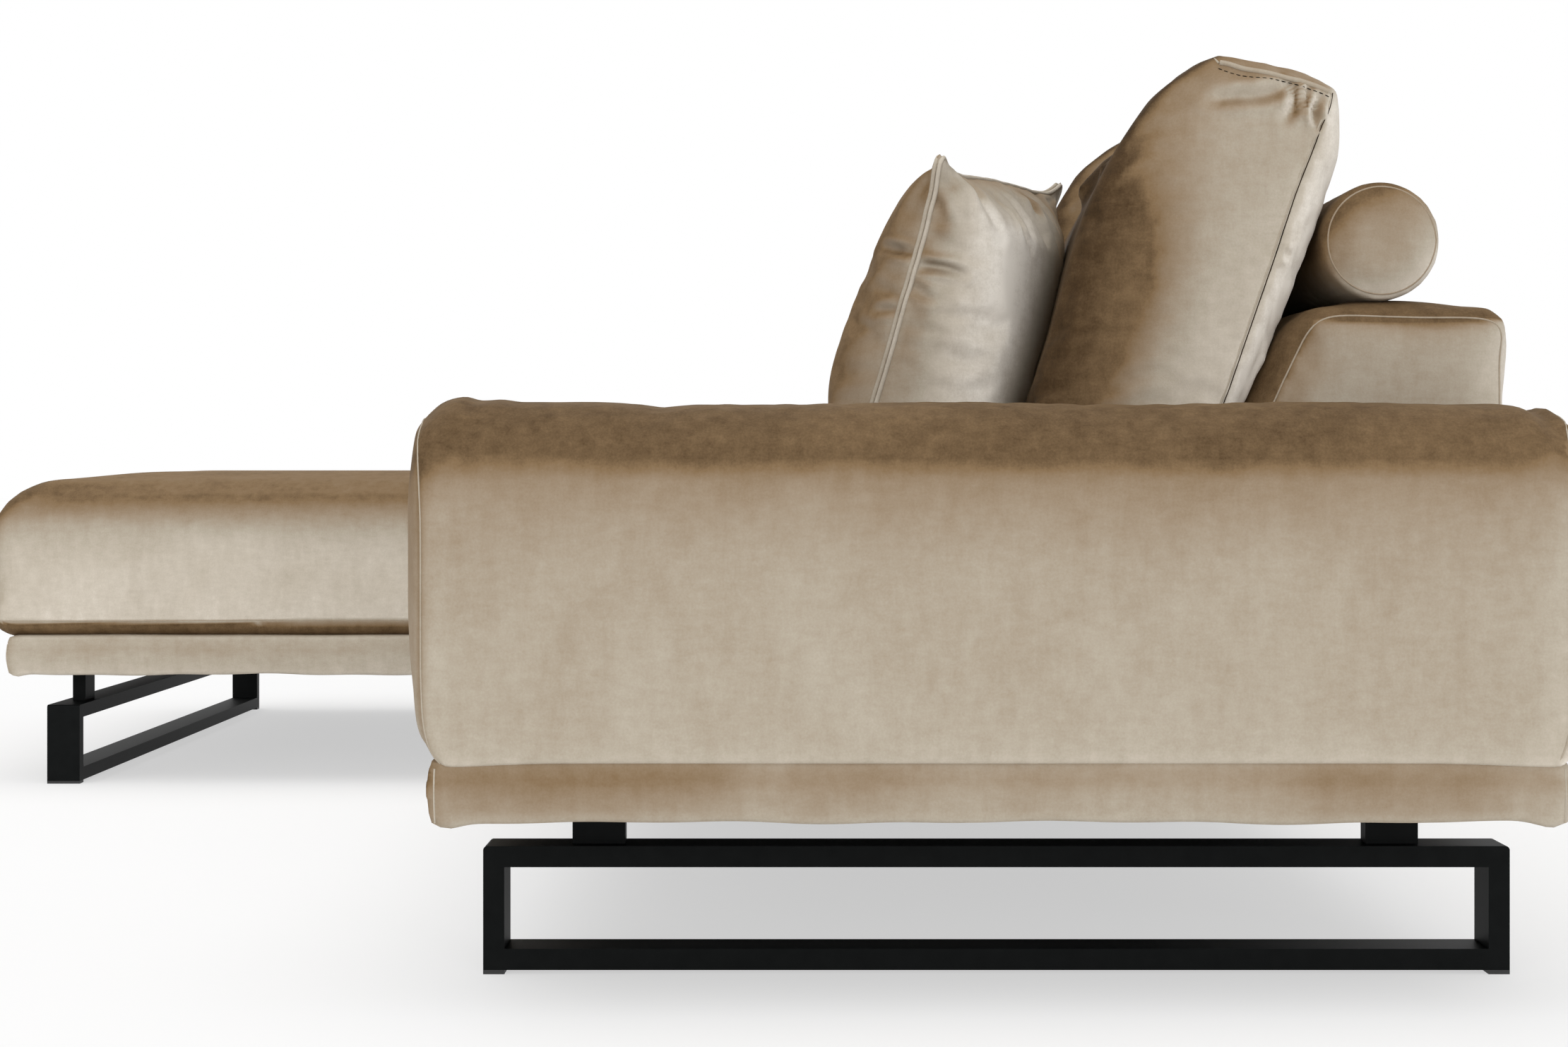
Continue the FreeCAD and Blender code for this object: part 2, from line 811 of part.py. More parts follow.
seat_side_stations = [(0.0, 14.0), (0.28, 2.0), (0.56, 0.0), (0.75, 6.0)]
seat_crown_stations = [(0.865, 0.12), (0.935, 0.345), (0.972, 0.586), (0.992, 0.81), (1.0, 1.0)]


def seat_cushion(x0, x1, y0, y1, crown, reach):
    bottom = pad_bottom
    height = crown - bottom
    wires = []
    for share, inset in seat_side_stations:
        wires.append(seat_outline(x0, x1, y0, y1, bottom + share * height, inset, seat_side_pull))
    for share, inset in seat_crown_stations:
        pull = seat_side_pull * (1 - inset) - 9.0 * inset
        wires.append(seat_outline(x0, x1, y0, y1, bottom + share * height, inset * reach, pull))
    return through(wires)


def foam_core(x0, x1, y0, y1, crown):
    inset = foam_core_inset
    low = base_top + foam_core_bottom_cover
    return block(x0 + inset, x1 - inset, y0 + inset, y1 - inset, low, crown - foam_core_top_cover)


seat_rear_y = rear_y - backrest_top_depth - (backrest_height - base_top) * slope_run
seat_rear_y = seat_rear_y - backrest_swell * 0.5 - seat_gap
main_seat_front = main_front_y - main_seat_front_overhang
seat_middle_x = (arm_inner_x + main_joint_x) / 2
seat_boxes = {
    "main_seat_cushion_1": (
        seat_middle_x + seat_gap,
        arm_inner_x - seat_gap,
        main_seat_front,
        main_seat_crown,
        main_crown_reach,
    ),
    "main_seat_cushion_2": (
        main_joint_x + seat_gap,
        seat_middle_x - seat_gap,
        main_seat_front,
        main_seat_crown,
        main_crown_reach,
    ),
    "chaise_seat_cushion": (
        -sofa_length / 2,
        chaise_inner_x + seat_gap,
        front_y,
        chaise_seat_crown,
        chaise_crown_reach,
    ),
}
seats = []
for name, (x0, x1, y0, crown, reach) in seat_boxes.items():
    core = foam_core(x0, x1, y0, seat_rear_y, crown)
    cushion = seat_cushion(x0, x1, y0, seat_rear_y, crown, reach)
    seats.append(cushion)
    save(name, [cushion.cut(core)])
    save(name.replace("cushion", "foam_core"), [core])


# Loose back cushions: leaning, thick at the foot, with a flat top panel between two seams
def back_cushion_outline(x, swell):
    tuck = 1 - swell
    bottom = back_cushion_bottom
    top = back_cushion_top - back_cushion_end_tuck * tuck
    front = back_cushion_front_swell * tuck
    back = -back_cushion_rear_swell * tuck
    rise = top - bottom
    front_foot = point(x, back_cushion_front_foot - 12 + front, bottom)
    front_middle = point(x, back_cushion_front_foot + 0.12 * rise + front, bottom + 0.54 * rise)
    front_top = point(x, back_cushion_front_foot + 0.336 * rise + front * 0.6, bottom + 0.915 * rise)
    shoulder = point(x, back_cushion_front_foot + 0.41 * rise + front * 0.3, bottom + 0.967 * rise)
    crest = point(x, back_cushion_front_foot + 0.492 * rise, top)
    rear_top = point(x, back_cushion_rear_foot + 0.325 * rise + back * 0.4, bottom + 0.92 * rise)
    rear_middle = point(x, back_cushion_rear_foot + 0.245 * rise + back, bottom + 0.53 * rise)
    rear_foot = point(x, back_cushion_rear_foot + 0.025 * rise + back * 0.5, bottom + 0.04 * rise)
    foot_edge = point(x, back_cushion_rear_foot - 14 + back * 0.5, bottom)
    edges = [
        arc(front_foot, front_middle, front_top),
        arc(front_top, shoulder, crest),
        line(crest, rear_top),
        arc(rear_top, rear_middle, rear_foot),
        line(rear_foot, foot_edge),
        line(foot_edge, front_foot),
    ]
    return Part.Wire(edges)


seat_support = Part.makeCompound(seats)
backrest_support = Part.makeCompound([main_back_upholstery, chaise_back_upholstery])
cushion_run = arm_inner_x - back_cushion_arm_gap - chaise_outer_x
cushion_pitch = cushion_run / back_cushion_count
back_cushions = []
for number in range(back_cushion_count):
    x1 = arm_inner_x - back_cushion_arm_gap - number * cushion_pitch
    x0 = x1 - cushion_pitch + back_cushion_gap
    cushion = swelling(x0, x1, back_cushion_outline)
    cushion = leaned(cushion, seat_support, backrest_support)
    back_cushions.append(cushion)
    save("back_cushion_" + str(number + 1), [cushion])


# Bolster lying along the top of the backrest
def bolster():
    r = bolster_diameter / 2
    x1 = arm_face_x - bolster_arm_distance
    x0 = x1 - bolster_length
    y = rear_y - bolster_rear_distance
    z = backrest_height + 2 * backrest_swell + r
    dome = bolster_end_dome
    edge = bolster_edge_radius
    bend = edge * (1 - math.cos(math.radians(45)))
    flat = r * 0.4
    sag = dome * 0.25
    half = (flat + r - edge) / 2
    edges = [
        line(point(x0, y, z), point(x1, y, z)),
        line(point(x1, y, z), point(x1, y, z + flat)),
        arc(point(x1, y, z + flat), point(x1 - sag, y, z + half), point(x1 - dome, y, z + r - edge)),
        arc(
            point(x1 - dome, y, z + r - edge),
            point(x1 - dome - bend, y, z + r - bend),
            point(x1 - dome - edge, y, z + r),
        ),
        line(point(x1 - dome - edge, y, z + r), point(x0 + dome + edge, y, z + r)),
        arc(
            point(x0 + dome + edge, y, z + r),
            point(x0 + dome + bend, y, z + r - bend),
            point(x0 + dome, y, z + r - edge),
        ),
        arc(point(x0 + dome, y, z + r - edge), point(x0 + sag, y, z + half), point(x0, y, z + flat)),
        line(point(x0, y, z + flat), point(x0, y, z)),
    ]
    face = Part.Face(Part.Wire(edges))
    return face.revolve(point(x0, y, z), point(1, 0, 0), 360)


save("bolster", [settled(bolster(), main_back_upholstery, point(0, 0, -1))])


# Throw pillow: two crowned faces that meet in a knife edge, straight where it stands on the seat
def pillow_outline(depth, size, pull):
    half_w = pillow_width / 2 * size
    half_h = pillow_height / 2 * size
    r = pillow_corner_radius + (1 - size) * 90
    r = min(r, half_w * 0.8, half_h * 0.8)
    bend = r * (1 - math.cos(math.radians(45)))

    def at(x, z):
        return point(x, depth, z)

    edges = [
        line(at(r - half_w, -half_h), at(half_w - r, -half_h)),
        arc(at(half_w - r, -half_h), at(half_w - bend, bend - half_h), at(half_w, r - half_h)),
        arc(at(half_w, r - half_h), at(half_w - pull, 0), at(half_w, half_h - r)),
        arc(at(half_w, half_h - r), at(half_w - bend, half_h - bend), at(half_w - r, half_h)),
        arc(at(half_w - r, half_h), at(0, half_h - pull), at(r - half_w, half_h)),
        arc(at(r - half_w, half_h), at(bend - half_w, half_h - bend), at(-half_w, half_h - r)),
        arc(at(-half_w, half_h - r), at(pull - half_w, 0), at(-half_w, r - half_h)),
        arc(at(-half_w, r - half_h), at(bend - half_w, bend - half_h), at(r - half_w, -half_h)),
    ]
    return Part.Wire(edges)


def pillow_half(bulge):
    stations = [(0.0, 1.0), (0.3, 0.93), (0.62, 0.78), (0.87, 0.55), (1.0, 0.24)]
    wires = []
    for share, size in stations:
        pull = pillow_side_pull * (size - 0.5) * 2
        wires.append(pillow_outline(share * bulge, size, pull))
    return through(wires)


pillow = pillow_half(-pillow_front_bulge).fuse(pillow_half(pillow_rear_bulge)).removeSplitter()
pillow.rotate(point(0, 0, 0), point(1, 0, 0), pillow_lean)
pillow.rotate(point(0, 0, 0), point(0, 0, 1), pillow_yaw)
pillow_z = main_seat_crown + pillow_height / 2
pillow.translate(point(arm_face_x - pillow_arm_distance, rear_y - pillow_rear_distance, pillow_z))
pillow = leaned(pillow, seats[0], back_cushions[0])
save("throw_pillow", [pillow])

# Flat steel plates join the two modules under their adjoining rails.
joining_spots = [
    main_front_y + 0.14 * main_base_depth,
    main_front_y + 0.8 * main_base_depth,
]
joining_plates = []
joining_packers = []
joining_screws = []
joining_holes = []
joint_line = (main_joint_x + chaise_inner_x) / 2
for y in joining_spots:
    half_long = joining_plate_length / 2
    half_wide = joining_plate_width / 2
    top = base_underside
    under = top - joining_plate_thickness
    plate = block(joint_line - half_long, joint_line + half_long, y - half_wide, y + half_wide, under, top)
    packer = block(main_joint_x, main_joint_x + rail_width / 2, y - half_wide, y + half_wide, top, rail_bottom)
    holes = []
    for x in (main_joint_x + rail_width / 4, rail_chaise_inner - rail_width / 4):
        for offset in (-half_wide * 0.6, half_wide * 0.6):
            joining_screws.append(screw(x, y + offset, under, screw_grip))
            holes.append(screw_hole(x, y + offset, under - 1, under + screw_grip + 1))
    joining_holes.extend(holes)
    joining_plates.append(drilled(plate, holes))
    joining_packers.append(drilled(packer, holes))
save("joining_plates", joining_plates)
save("joining_packers", joining_packers)
save("joining_screws", joining_screws)

# Drill the timber, the dust covers and the panel for the fasteners, then save them.
all_holes = leg_holes + arm_holes + back_holes + joining_holes
main_bearers = []
for bearer in (arm_bearer, arm_sled_bearer, middle_bearer, joint_sled_bearer):
    main_bearers.append(drilled(bearer, all_holes))
drilled_chaise_bearers = []
for bearer in chaise_bearers:
    drilled_chaise_bearers.append(drilled(bearer, all_holes))
save("main_front_rail", [main_front_rail])
save("main_back_rail", [drilled(main_back_rail, all_holes)])
save("main_arm_end_rail", [main_arm_end_rail])
save("main_joint_end_rail", [drilled(main_joint_end_rail, all_holes)])
save("main_bearers", main_bearers)
save("main_webbing", main_straps)
save("main_dust_cover", [drilled(main_dust_cover, all_holes)])
save("main_front_base_panel", [main_front_panel])
save("main_back_base_panel", [main_back_panel])
save("main_arm_end_base_panel", [main_arm_end_panel])
save("chaise_front_rail", [chaise_front_rail])
save("chaise_back_rail", [drilled(chaise_back_rail, all_holes)])
save("chaise_outer_rail", [chaise_outer_rail])
save("chaise_inner_rail", [drilled(chaise_inner_rail, all_holes)])
save("chaise_bearers", drilled_chaise_bearers)
save("chaise_webbing", chaise_straps)
save("chaise_dust_cover", [drilled(chaise_dust_cover, all_holes)])
save("chaise_front_base_panel", [chaise_front_panel])
save("chaise_back_base_panel", [chaise_back_panel])
save("chaise_outer_base_panel", [chaise_outer_panel])
save("chaise_inner_base_panel", [drilled(chaise_inner_panel, all_holes)])
save("arm_frame", [arm_frame])
save("arm_upholstery", [arm_upholstery])
save("arm_bolts", arm_bolts)
save("main_back_frame", [main_back_frame])
save("main_back_upholstery", [main_back_upholstery])
save("chaise_back_frame", [chaise_back_frame])
save("chaise_back_upholstery", [chaise_back_upholstery])
save("back_bolts", back_bolts)
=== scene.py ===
import json
import math

import bmesh
import bpy
import numpy as np
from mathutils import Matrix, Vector
from mathutils.bvhtree import BVHTree


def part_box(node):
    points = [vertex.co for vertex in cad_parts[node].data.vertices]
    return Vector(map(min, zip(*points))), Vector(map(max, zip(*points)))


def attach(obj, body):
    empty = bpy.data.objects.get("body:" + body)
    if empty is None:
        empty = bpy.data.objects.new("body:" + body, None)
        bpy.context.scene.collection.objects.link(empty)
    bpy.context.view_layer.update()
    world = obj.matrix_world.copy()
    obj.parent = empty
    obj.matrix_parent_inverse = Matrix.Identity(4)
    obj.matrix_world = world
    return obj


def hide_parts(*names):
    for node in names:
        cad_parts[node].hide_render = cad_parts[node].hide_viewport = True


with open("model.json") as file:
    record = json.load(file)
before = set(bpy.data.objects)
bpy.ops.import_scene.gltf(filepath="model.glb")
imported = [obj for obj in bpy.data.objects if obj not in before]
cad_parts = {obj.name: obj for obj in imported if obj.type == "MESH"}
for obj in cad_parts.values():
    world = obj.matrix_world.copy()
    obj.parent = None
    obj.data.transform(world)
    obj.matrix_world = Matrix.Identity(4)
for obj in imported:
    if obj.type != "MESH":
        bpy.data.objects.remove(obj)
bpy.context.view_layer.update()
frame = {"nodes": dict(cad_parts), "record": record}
scene = bpy.context.scene
scene.view_settings.view_transform = "Standard"


# Finishes

def paint(red, green, blue):
    """A colour as a screen shows it, as the shader wants it."""
    light = [(c / 255 / 12.92) if c < 11 else ((c / 255 + 0.055) / 1.055) ** 2.4 for c in (red, green, blue)]
    return (*light, 1)


def new_finish(name, roughness):
    finish = bpy.data.materials.new(name)
    finish.use_nodes = True
    shader = finish.node_tree.nodes["Principled BSDF"]
    shader.inputs["Roughness"].default_value = roughness
    return finish, shader


def add_node(finish, kind, **values):
    node = finish.node_tree.nodes.new("ShaderNode" + kind)
    for name, value in values.items():
        if name in node.inputs:
            node.inputs[name].default_value = value
        else:
            setattr(node, name, value)
    return node


def join(finish, source, target):
    finish.node_tree.links.new(source, target)


def mottle(finish, scale, detail=3, roughness=0.5, stretch=(1, 1, 1), distortion=0.0):
    """A noise on the piece's own coordinates."""
    coords = add_node(finish, "TexCoord")
    turn = add_node(finish, "Mapping", Scale=stretch)
    cloud = add_node(finish, "TexNoise", Scale=scale, Detail=detail, Roughness=roughness, Distortion=distortion)
    join(finish, coords.outputs["Object"], turn.inputs["Vector"])
    join(finish, turn.outputs["Vector"], cloud.inputs["Vector"])
    return cloud.outputs["Fac"]


def sum_of(finish, first, second, share, offset=0.0):
    """first + share * second + offset"""
    step = add_node(finish, "Math", operation="MULTIPLY_ADD")
    step.inputs[1].default_value = share
    join(finish, second, step.inputs[0])
    join(finish, first, step.inputs[2])
    if not offset:
        return step.outputs[0]
    shift = add_node(finish, "Math", operation="ADD")
    shift.inputs[1].default_value = offset
    join(finish, step.outputs[0], shift.inputs[0])
    return shift.outputs[0]


def ramp(finish, source, stops):
    band = add_node(finish, "ValToRGB")
    marks = band.color_ramp.elements
    while len(marks) < len(stops):
        marks.new(0.5)
    for mark, (at, colour) in zip(marks, stops):
        mark.position = at
        mark.color = colour
    join(finish, source, band.inputs["Fac"])
    return band.outputs["Color"]


def bumped(finish, shader, height, strength, distance):
    bump = add_node(finish, "Bump", Strength=strength, Distance=distance)
    join(finish, height, bump.inputs["Height"])
    join(finish, bump.outputs["Normal"], shader.inputs["Normal"])


def velvet_finish(name, roughness):
    """Cut-pile velvet whose colour follows each point's painted tone and shading: painted shade where a face is turned
    up or forward, painted light where it is turned back or down, under a random pile mottle.
    """
    velvet, shader = new_finish(name, roughness)
    tone_and_painted_shading = add_node(velvet, "Attribute", attribute_name="tone_and_painted_shading").outputs["Fac"]
    cloud = add_node(velvet, "Math", operation="MULTIPLY")
    join(velvet, mottle(velvet, 4.5, 4, 0.55, distortion=0.9), cloud.inputs[0])
    cloud.inputs[1].default_value = 0.22
    strokes = sum_of(velvet, cloud.outputs[0], mottle(velvet, 21, 4, 0.62, distortion=0.6), 0.12)
    strokes = sum_of(velvet, strokes, mottle(velvet, 75, 3, 0.65, stretch=(1, 1, 0.35)), 0.18)
    strokes = sum_of(velvet, strokes, mottle(velvet, 130, 3, 0.65, stretch=(0.4, 0.4, 1)), 0.17)
    strokes = sum_of(velvet, strokes, mottle(velvet, 480, 2, 0.6), 0.15, -0.42)
    depth = add_node(velvet, "Math", operation="MULTIPLY_ADD")
    join(velvet, tone_and_painted_shading, depth.inputs[0])
    depth.inputs[1].default_value = 1.1
    depth.inputs[2].default_value = 0.24
    laid = add_node(velvet, "Math", operation="MULTIPLY")
    join(velvet, strokes, laid.inputs[0])
    join(velvet, depth.outputs[0], laid.inputs[1])
    tone = sum_of(velvet, tone_and_painted_shading, laid.outputs[0], 1.0)
    # The ramp runs from near black, for painted shade in crevices, to pale cream, for painted light.
    colour = ramp(velvet, tone, [
        (0.0, paint(26, 20, 13)), (0.06, paint(76, 58, 38)), (0.15, paint(126, 103, 75)), (0.30, paint(150, 133, 112)),
        (0.50, paint(175, 165, 149)), (0.72, paint(202, 193, 179)), (1.0, paint(242, 236, 226))])
    join(velvet, colour, shader.inputs["Base Color"])
    shader.inputs["Sheen Weight"].default_value = 0.03
    shader.inputs["Sheen Roughness"].default_value = 0.4
    shader.inputs["Sheen Tint"].default_value = paint(216, 190, 152)
    shader.inputs["Specular IOR Level"].default_value = 0.07
    pile = sum_of(velvet, mottle(velvet, 900, 2), mottle(velvet, 300, 3), 0.8)
    bumped(velvet, shader, pile, 0.25, 0.0006)
    return velvet


def metal_finish():
    black_metal, shader = new_finish("black_powder_coat", 0.5)
    colour = ramp(black_metal, mottle(black_metal, 60, 3), [(0.3, paint(8, 10, 10)), (0.7, paint(13, 15, 15))])
    join(black_metal, colour, shader.inputs["Base Color"])
    shader.inputs["Specular IOR Level"].default_value = 0.06
    bumped(black_metal, shader, mottle(black_metal, 1600, 2), 0.12, 0.0003)
    return black_metal


def plain_finish(name, dark, light, scale, roughness, stretch=(1, 1, 1), grain=0.2):
    finish, shader = new_finish(name, roughness)
    cloud = mottle(finish, scale, 5, 0.6, stretch, 0.3)
    join(finish, ramp(finish, cloud, [(0.3, dark), (0.7, light)]), shader.inputs["Base Color"])
    bumped(finish, shader, cloud, grain, 0.0008)
    return finish


velvet = velvet_finish("champagne_velvet", 0.72)
finishes = {
    "velvet": velvet,
    "black_metal": metal_finish(),
    "black_plastic": plain_finish("black_glide_plastic", paint(13, 13, 14), paint(20, 20, 21), 300, 0.55),
    "timber": plain_finish("pine_board", paint(178, 138, 92), paint(214, 180, 134), 16, 0.7, (0.08, 1, 1)),
    "webbing": plain_finish("elastic_webbing", paint(58, 52, 46), paint(92, 84, 74), 420, 0.85, (0.3, 1, 1), 0.5),
    "dust_cloth": plain_finish("dust_cover_cloth", paint(26, 26, 26), paint(40, 40, 40), 500, 0.95, grain=0.5),
    "foam": plain_finish("seat_foam", paint(214, 204, 170), paint(236, 228, 200), 220, 0.9, grain=0.6),
    "zinc_steel": plain_finish("zinc_plated_steel", paint(150, 152, 154), paint(190, 191, 192), 90, 0.38),
}
finishes["zinc_steel"].node_tree.nodes["Principled BSDF"].inputs["Metallic"].default_value = 1.0
for part in frame["record"]["subparts"]:
    slots = frame["nodes"][part["node"]].data.materials
    slots.clear()
    slots.append(finishes[part["material_slot"]])


# Meshes

def shown(name, mesh):
    piece = bpy.data.objects.new(name, mesh)
    scene.collection.objects.link(piece)
    return piece


def merged_copy(name, *nodes):
    shell = bmesh.new()
    for node in nodes:
        shell.from_mesh(frame["nodes"][node].data)
    bmesh.ops.remove_doubles(shell, verts=shell.verts, dist=1e-5)
    mesh = bpy.data.meshes.new(name)
    shell.to_mesh(mesh)
    shell.free()
    return shown(name, mesh)


def bake(piece):
    """Turns what the piece's modifiers make into its plain mesh."""
    ready = bpy.context.evaluated_depsgraph_get()
    mesh = bpy.data.meshes.new_from_object(piece.evaluated_get(ready))
    piece.modifiers.clear()
    before = piece.data
    piece.data = mesh
    bpy.data.meshes.remove(before)
    mesh.name = piece.name


def reskin(piece, voxel):
    skin = piece.modifiers.new("skin", "REMESH")
    skin.mode = "VOXEL"
    skin.voxel_size = voxel
    bake(piece)


def refine(piece):
    finer = piece.modifiers.new("finer", "SUBSURF")
    finer.levels = finer.render_levels = 1
    bake(piece)


def points_of(piece):
    points = np.empty(len(piece.data.vertices) * 3)
    piece.data.vertices.foreach_get("co", points)
    return points.reshape(-1, 3)


def place(piece, points):
    piece.data.vertices.foreach_set("co", np.ascontiguousarray(points).ravel())
    piece.data.update()


def facing_of(piece):
    facing = np.empty(len(piece.data.vertices) * 3)
    piece.data.vertex_normals.foreach_get("vector", facing)
    return facing.reshape(-1, 3)


def threads_of(piece):
    threads = np.empty(len(piece.data.edges) * 2, dtype=np.int32)
    piece.data.edges.foreach_get("vertices", threads)
    return threads.reshape(-1, 2)


def evened(values, threads, rounds):
    """Each point takes the mean of its neighbours, a number of times over."""
    count = len(values)
    ends = np.concatenate([threads[:, 0], threads[:, 1]])
    others = np.concatenate([threads[:, 1], threads[:, 0]])
    share = np.maximum(np.bincount(ends, minlength=count), 1)
    flat = values.reshape(count, -1)
    for _ in range(rounds):
        flat = np.stack([np.bincount(ends, flat[others, k], count) / share for k in range(flat.shape[1])], 1)
    return flat.reshape(values.shape)


def ease(low, high, values):
    """0 below low, 1 above high, and a smooth change between them."""
    t = np.clip((values - low) / (high - low), 0, 1)
    return t * t * (3 - 2 * t)


def along(path, step):
    """Points a step apart along a broken line."""
    path = np.asarray(path, dtype=float)
    spans = np.linalg.norm(np.diff(path, axis=0), axis=1)
    run = np.concatenate([[0], np.cumsum(spans)])
    count = max(2, int(round(run[-1] / step)) + 1)
    stops = np.linspace(0, run[-1], count)
    return np.stack([np.interp(stops, run, path[:, k]) for k in range(3)], 1)


def rounded_path(path, step):
    """The same line with its bends eased."""
    points = along(path, step)
    for _ in range(6):
        points[1:-1] = (points[:-2] + 2 * points[1:-1] + points[2:]) / 4
    return points


def distance_to(points, path):
    """Each point's distance to a path, and how far along it that is from 0 to 1."""
    best = np.full(len(points), 9.0)
    share = np.zeros(len(points))
    for index, spot in enumerate(path):
        away = np.linalg.norm(points - spot, axis=1)
        nearer = away < best
        best[nearer] = away[nearer]
        share[nearer] = index / (len(path) - 1)
    return best, share


def cloth_tree(piece):
    corners = [v.co.copy() for v in piece.data.vertices]
    return BVHTree.FromPolygons(corners, [tuple(p.vertices) for p in piece.data.polygons])


near_range = 0.08


def keep_clear(piece, others, gap, most=near_range):
    """Presses the piece back where it comes too near its neighbours, by so much at most."""
    points = points_of(piece)
    for other in others:
        tree = cloth_tree(other)
        for index, spot in enumerate(points):
            near, normal, _, _ = tree.find_nearest(Vector(spot), near_range)
            if near is None:
                continue
            side = (Vector(spot) - near).dot(normal)
            if side < gap:
                back = np.array(near + normal * gap) - spot
                points[index] = spot + back * min(1, most / max(np.linalg.norm(back), 1e-9))
    place(piece, points)


cloth_frames = 14
hold_grades = 8


def plump(piece, held, growth, pressure, cap, keep):
    """Fills the cover as its stuffing does, and keeps its folds with a part of the swelling."""
    before = points_of(piece)
    group = piece.vertex_groups.new(name="held")
    grades = np.round(np.clip(held, 0, 1) * hold_grades).astype(int)
    for grade in range(1, hold_grades + 1):
        group.add(np.nonzero(grades == grade)[0].tolist(), grade / hold_grades, "REPLACE")
    cloth = piece.modifiers.new("cloth", "CLOTH")
    cloth.settings.quality = 4
    cloth.settings.mass = 0.25
    cloth.settings.tension_stiffness = 12
    cloth.settings.compression_stiffness = 12
    cloth.settings.shear_stiffness = 4
    cloth.settings.bending_stiffness = 0.35
    cloth.settings.air_damping = 2
    cloth.settings.use_pressure = True
    cloth.settings.uniform_pressure_force = pressure
    cloth.settings.effector_weights.gravity = 0
    cloth.settings.shrink_min = -growth
    cloth.settings.vertex_group_mass = "held"
    cloth.collision_settings.use_collision = False
    cloth.collision_settings.use_self_collision = False
    cloth.point_cache.frame_start = 1
    cloth.point_cache.frame_end = cloth_frames
    for moment in range(1, cloth_frames + 1):
        scene.frame_set(moment)
    ready = bpy.context.evaluated_depsgraph_get()
    after = np.empty(before.size)
    piece.evaluated_get(ready).data.vertices.foreach_get("co", after)
    piece.modifiers.clear()
    piece.vertex_groups.clear()
    scene.frame_set(1)
    moved = after.reshape(-1, 3) - before
    length = np.linalg.norm(moved, axis=1, keepdims=True)
    moved *= np.minimum(1, cap / np.maximum(length, 1e-9))
    broad = evened(moved, threads_of(piece), rounds=30)
    place(piece, before + moved - broad + keep * broad)


def finer_near(piece, path, reach):
    """Halves the mesh near a path, so that it can take a narrow fold."""
    away, _ = distance_to(points_of(piece), path)
    shell = bmesh.new()
    shell.from_mesh(piece.data)
    shell.verts.ensure_lookup_table()
    near = [edge for edge in shell.edges if max(away[edge.verts[0].index], away[edge.verts[1].index]) < reach]
    bmesh.ops.subdivide_edges(shell, edges=near, cuts=1, use_grid_fill=True)
    shell.to_mesh(piece.data)
    shell.free()
    piece.data.update()


def crease(piece, path, width, depth, shoulder=0.45):
    """Presses a fold into the cloth along a path that fades at both ends."""
    path = settle_on(piece, path, lift=0.0, step=0.004)
    finer_near(piece, path, reach=0.022)
    points = points_of(piece)
    facing = evened(facing_of(piece), threads_of(piece), 3)
    away, share = distance_to(points, path)
    fade = np.sin(np.pi * np.clip(share, 0.04, 0.96)) ** 0.6
    fold = -depth * np.exp(-(away / width) ** 2) + shoulder * depth * np.exp(-((away - 2.1 * width) / width) ** 2)
    place(piece, points + facing * (fold * fade)[:, None])


def paint_tone_and_shading(piece, tone=0.0, fall=0.16, marks=(), shade=0.0, detail=0.6, floor=0.1):
    """Paints each point's tone and shading: painted shade where a face looks up or forward, painted light where it
    looks back or down, painted light toward the bottom by fall, and the given shade and marks.
    """
    points = points_of(piece)
    threads = threads_of(piece)
    close = evened(facing_of(piece), threads, rounds=2)
    facing = evened(close, threads, rounds=14)
    facing += detail * (close - facing)
    low, high = points[:, 2].min(), points[:, 2].max()
    height = (points[:, 2] - low) / (high - low)
    up = np.clip(facing[:, 2], 0, 1)
    down = np.clip(-facing[:, 2], 0, 1)
    # Painted shading from the way a face is turned.
    tone_and_painted_shading = 0.50 + tone + 0.30 * facing[:, 1] - 0.36 * up ** 0.9 + 0.22 * np.minimum(down, 0.5)
    tone_and_painted_shading += fall * (0.5 - height) + shade
    for path, width, depth in marks:
        away, _ = distance_to(points, along(path, step=0.004))
        tone_and_painted_shading += depth * np.exp(-(away / width) ** 2)
    layer = piece.data.attributes.get("tone_and_painted_shading") or piece.data.attributes.new("tone_and_painted_shading", "FLOAT", "POINT")
    layer.data.foreach_set("value", np.clip(tone_and_painted_shading, floor, 1))


def finish_cloth(piece, nodes, body):
    piece.data.shade_smooth()
    piece.data.materials.clear()
    piece.data.materials.append(velvet)
    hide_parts(*nodes)
    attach(piece, body)


def skin_of(name, nodes, voxel):
    piece = merged_copy(name, *nodes)
    reskin(piece, voxel)
    return piece


# Seams: trees that lay a cord or a row of stitches along a path

def new_tree(name, sizes):
    tree = bpy.data.node_groups.new(name, "GeometryNodeTree")
    tree.interface.new_socket("Path", in_out="INPUT", socket_type="NodeSocketGeometry")
    for size in sizes:
        tree.interface.new_socket(size, in_out="INPUT", socket_type="NodeSocketFloat")
    tree.interface.new_socket("Cloth", in_out="INPUT", socket_type="NodeSocketMaterial")
    tree.interface.new_socket("Seam", in_out="OUTPUT", socket_type="NodeSocketGeometry")
    return tree, tree.nodes.new("NodeGroupInput"), tree.nodes.new("NodeGroupOutput")


def close_tree(tree, given, out, shape):
    """Stores the seam's painted tone and shading on it, and ends in a plain shape with its cloth."""
    tone = tree.nodes.new("GeometryNodeStoreNamedAttribute")
    tone.data_type = "FLOAT"
    tone.domain = "POINT"
    tone.inputs["Name"].default_value = "tone_and_painted_shading"
    smooth = tree.nodes.new("GeometryNodeSetShadeSmooth")
    real = tree.nodes.new("GeometryNodeRealizeInstances")
    cloth = tree.nodes.new("GeometryNodeSetMaterial")
    link = tree.links.new
    link(shape, real.inputs[0])
    link(real.outputs[0], tone.inputs["Geometry"])
    link(given.outputs["Tone"], tone.inputs["Value"])
    link(tone.outputs[0], smooth.inputs[0])
    link(smooth.outputs[0], cloth.inputs["Geometry"])
    link(given.outputs["Cloth"], cloth.inputs["Material"])
    link(cloth.outputs[0], out.inputs[0])


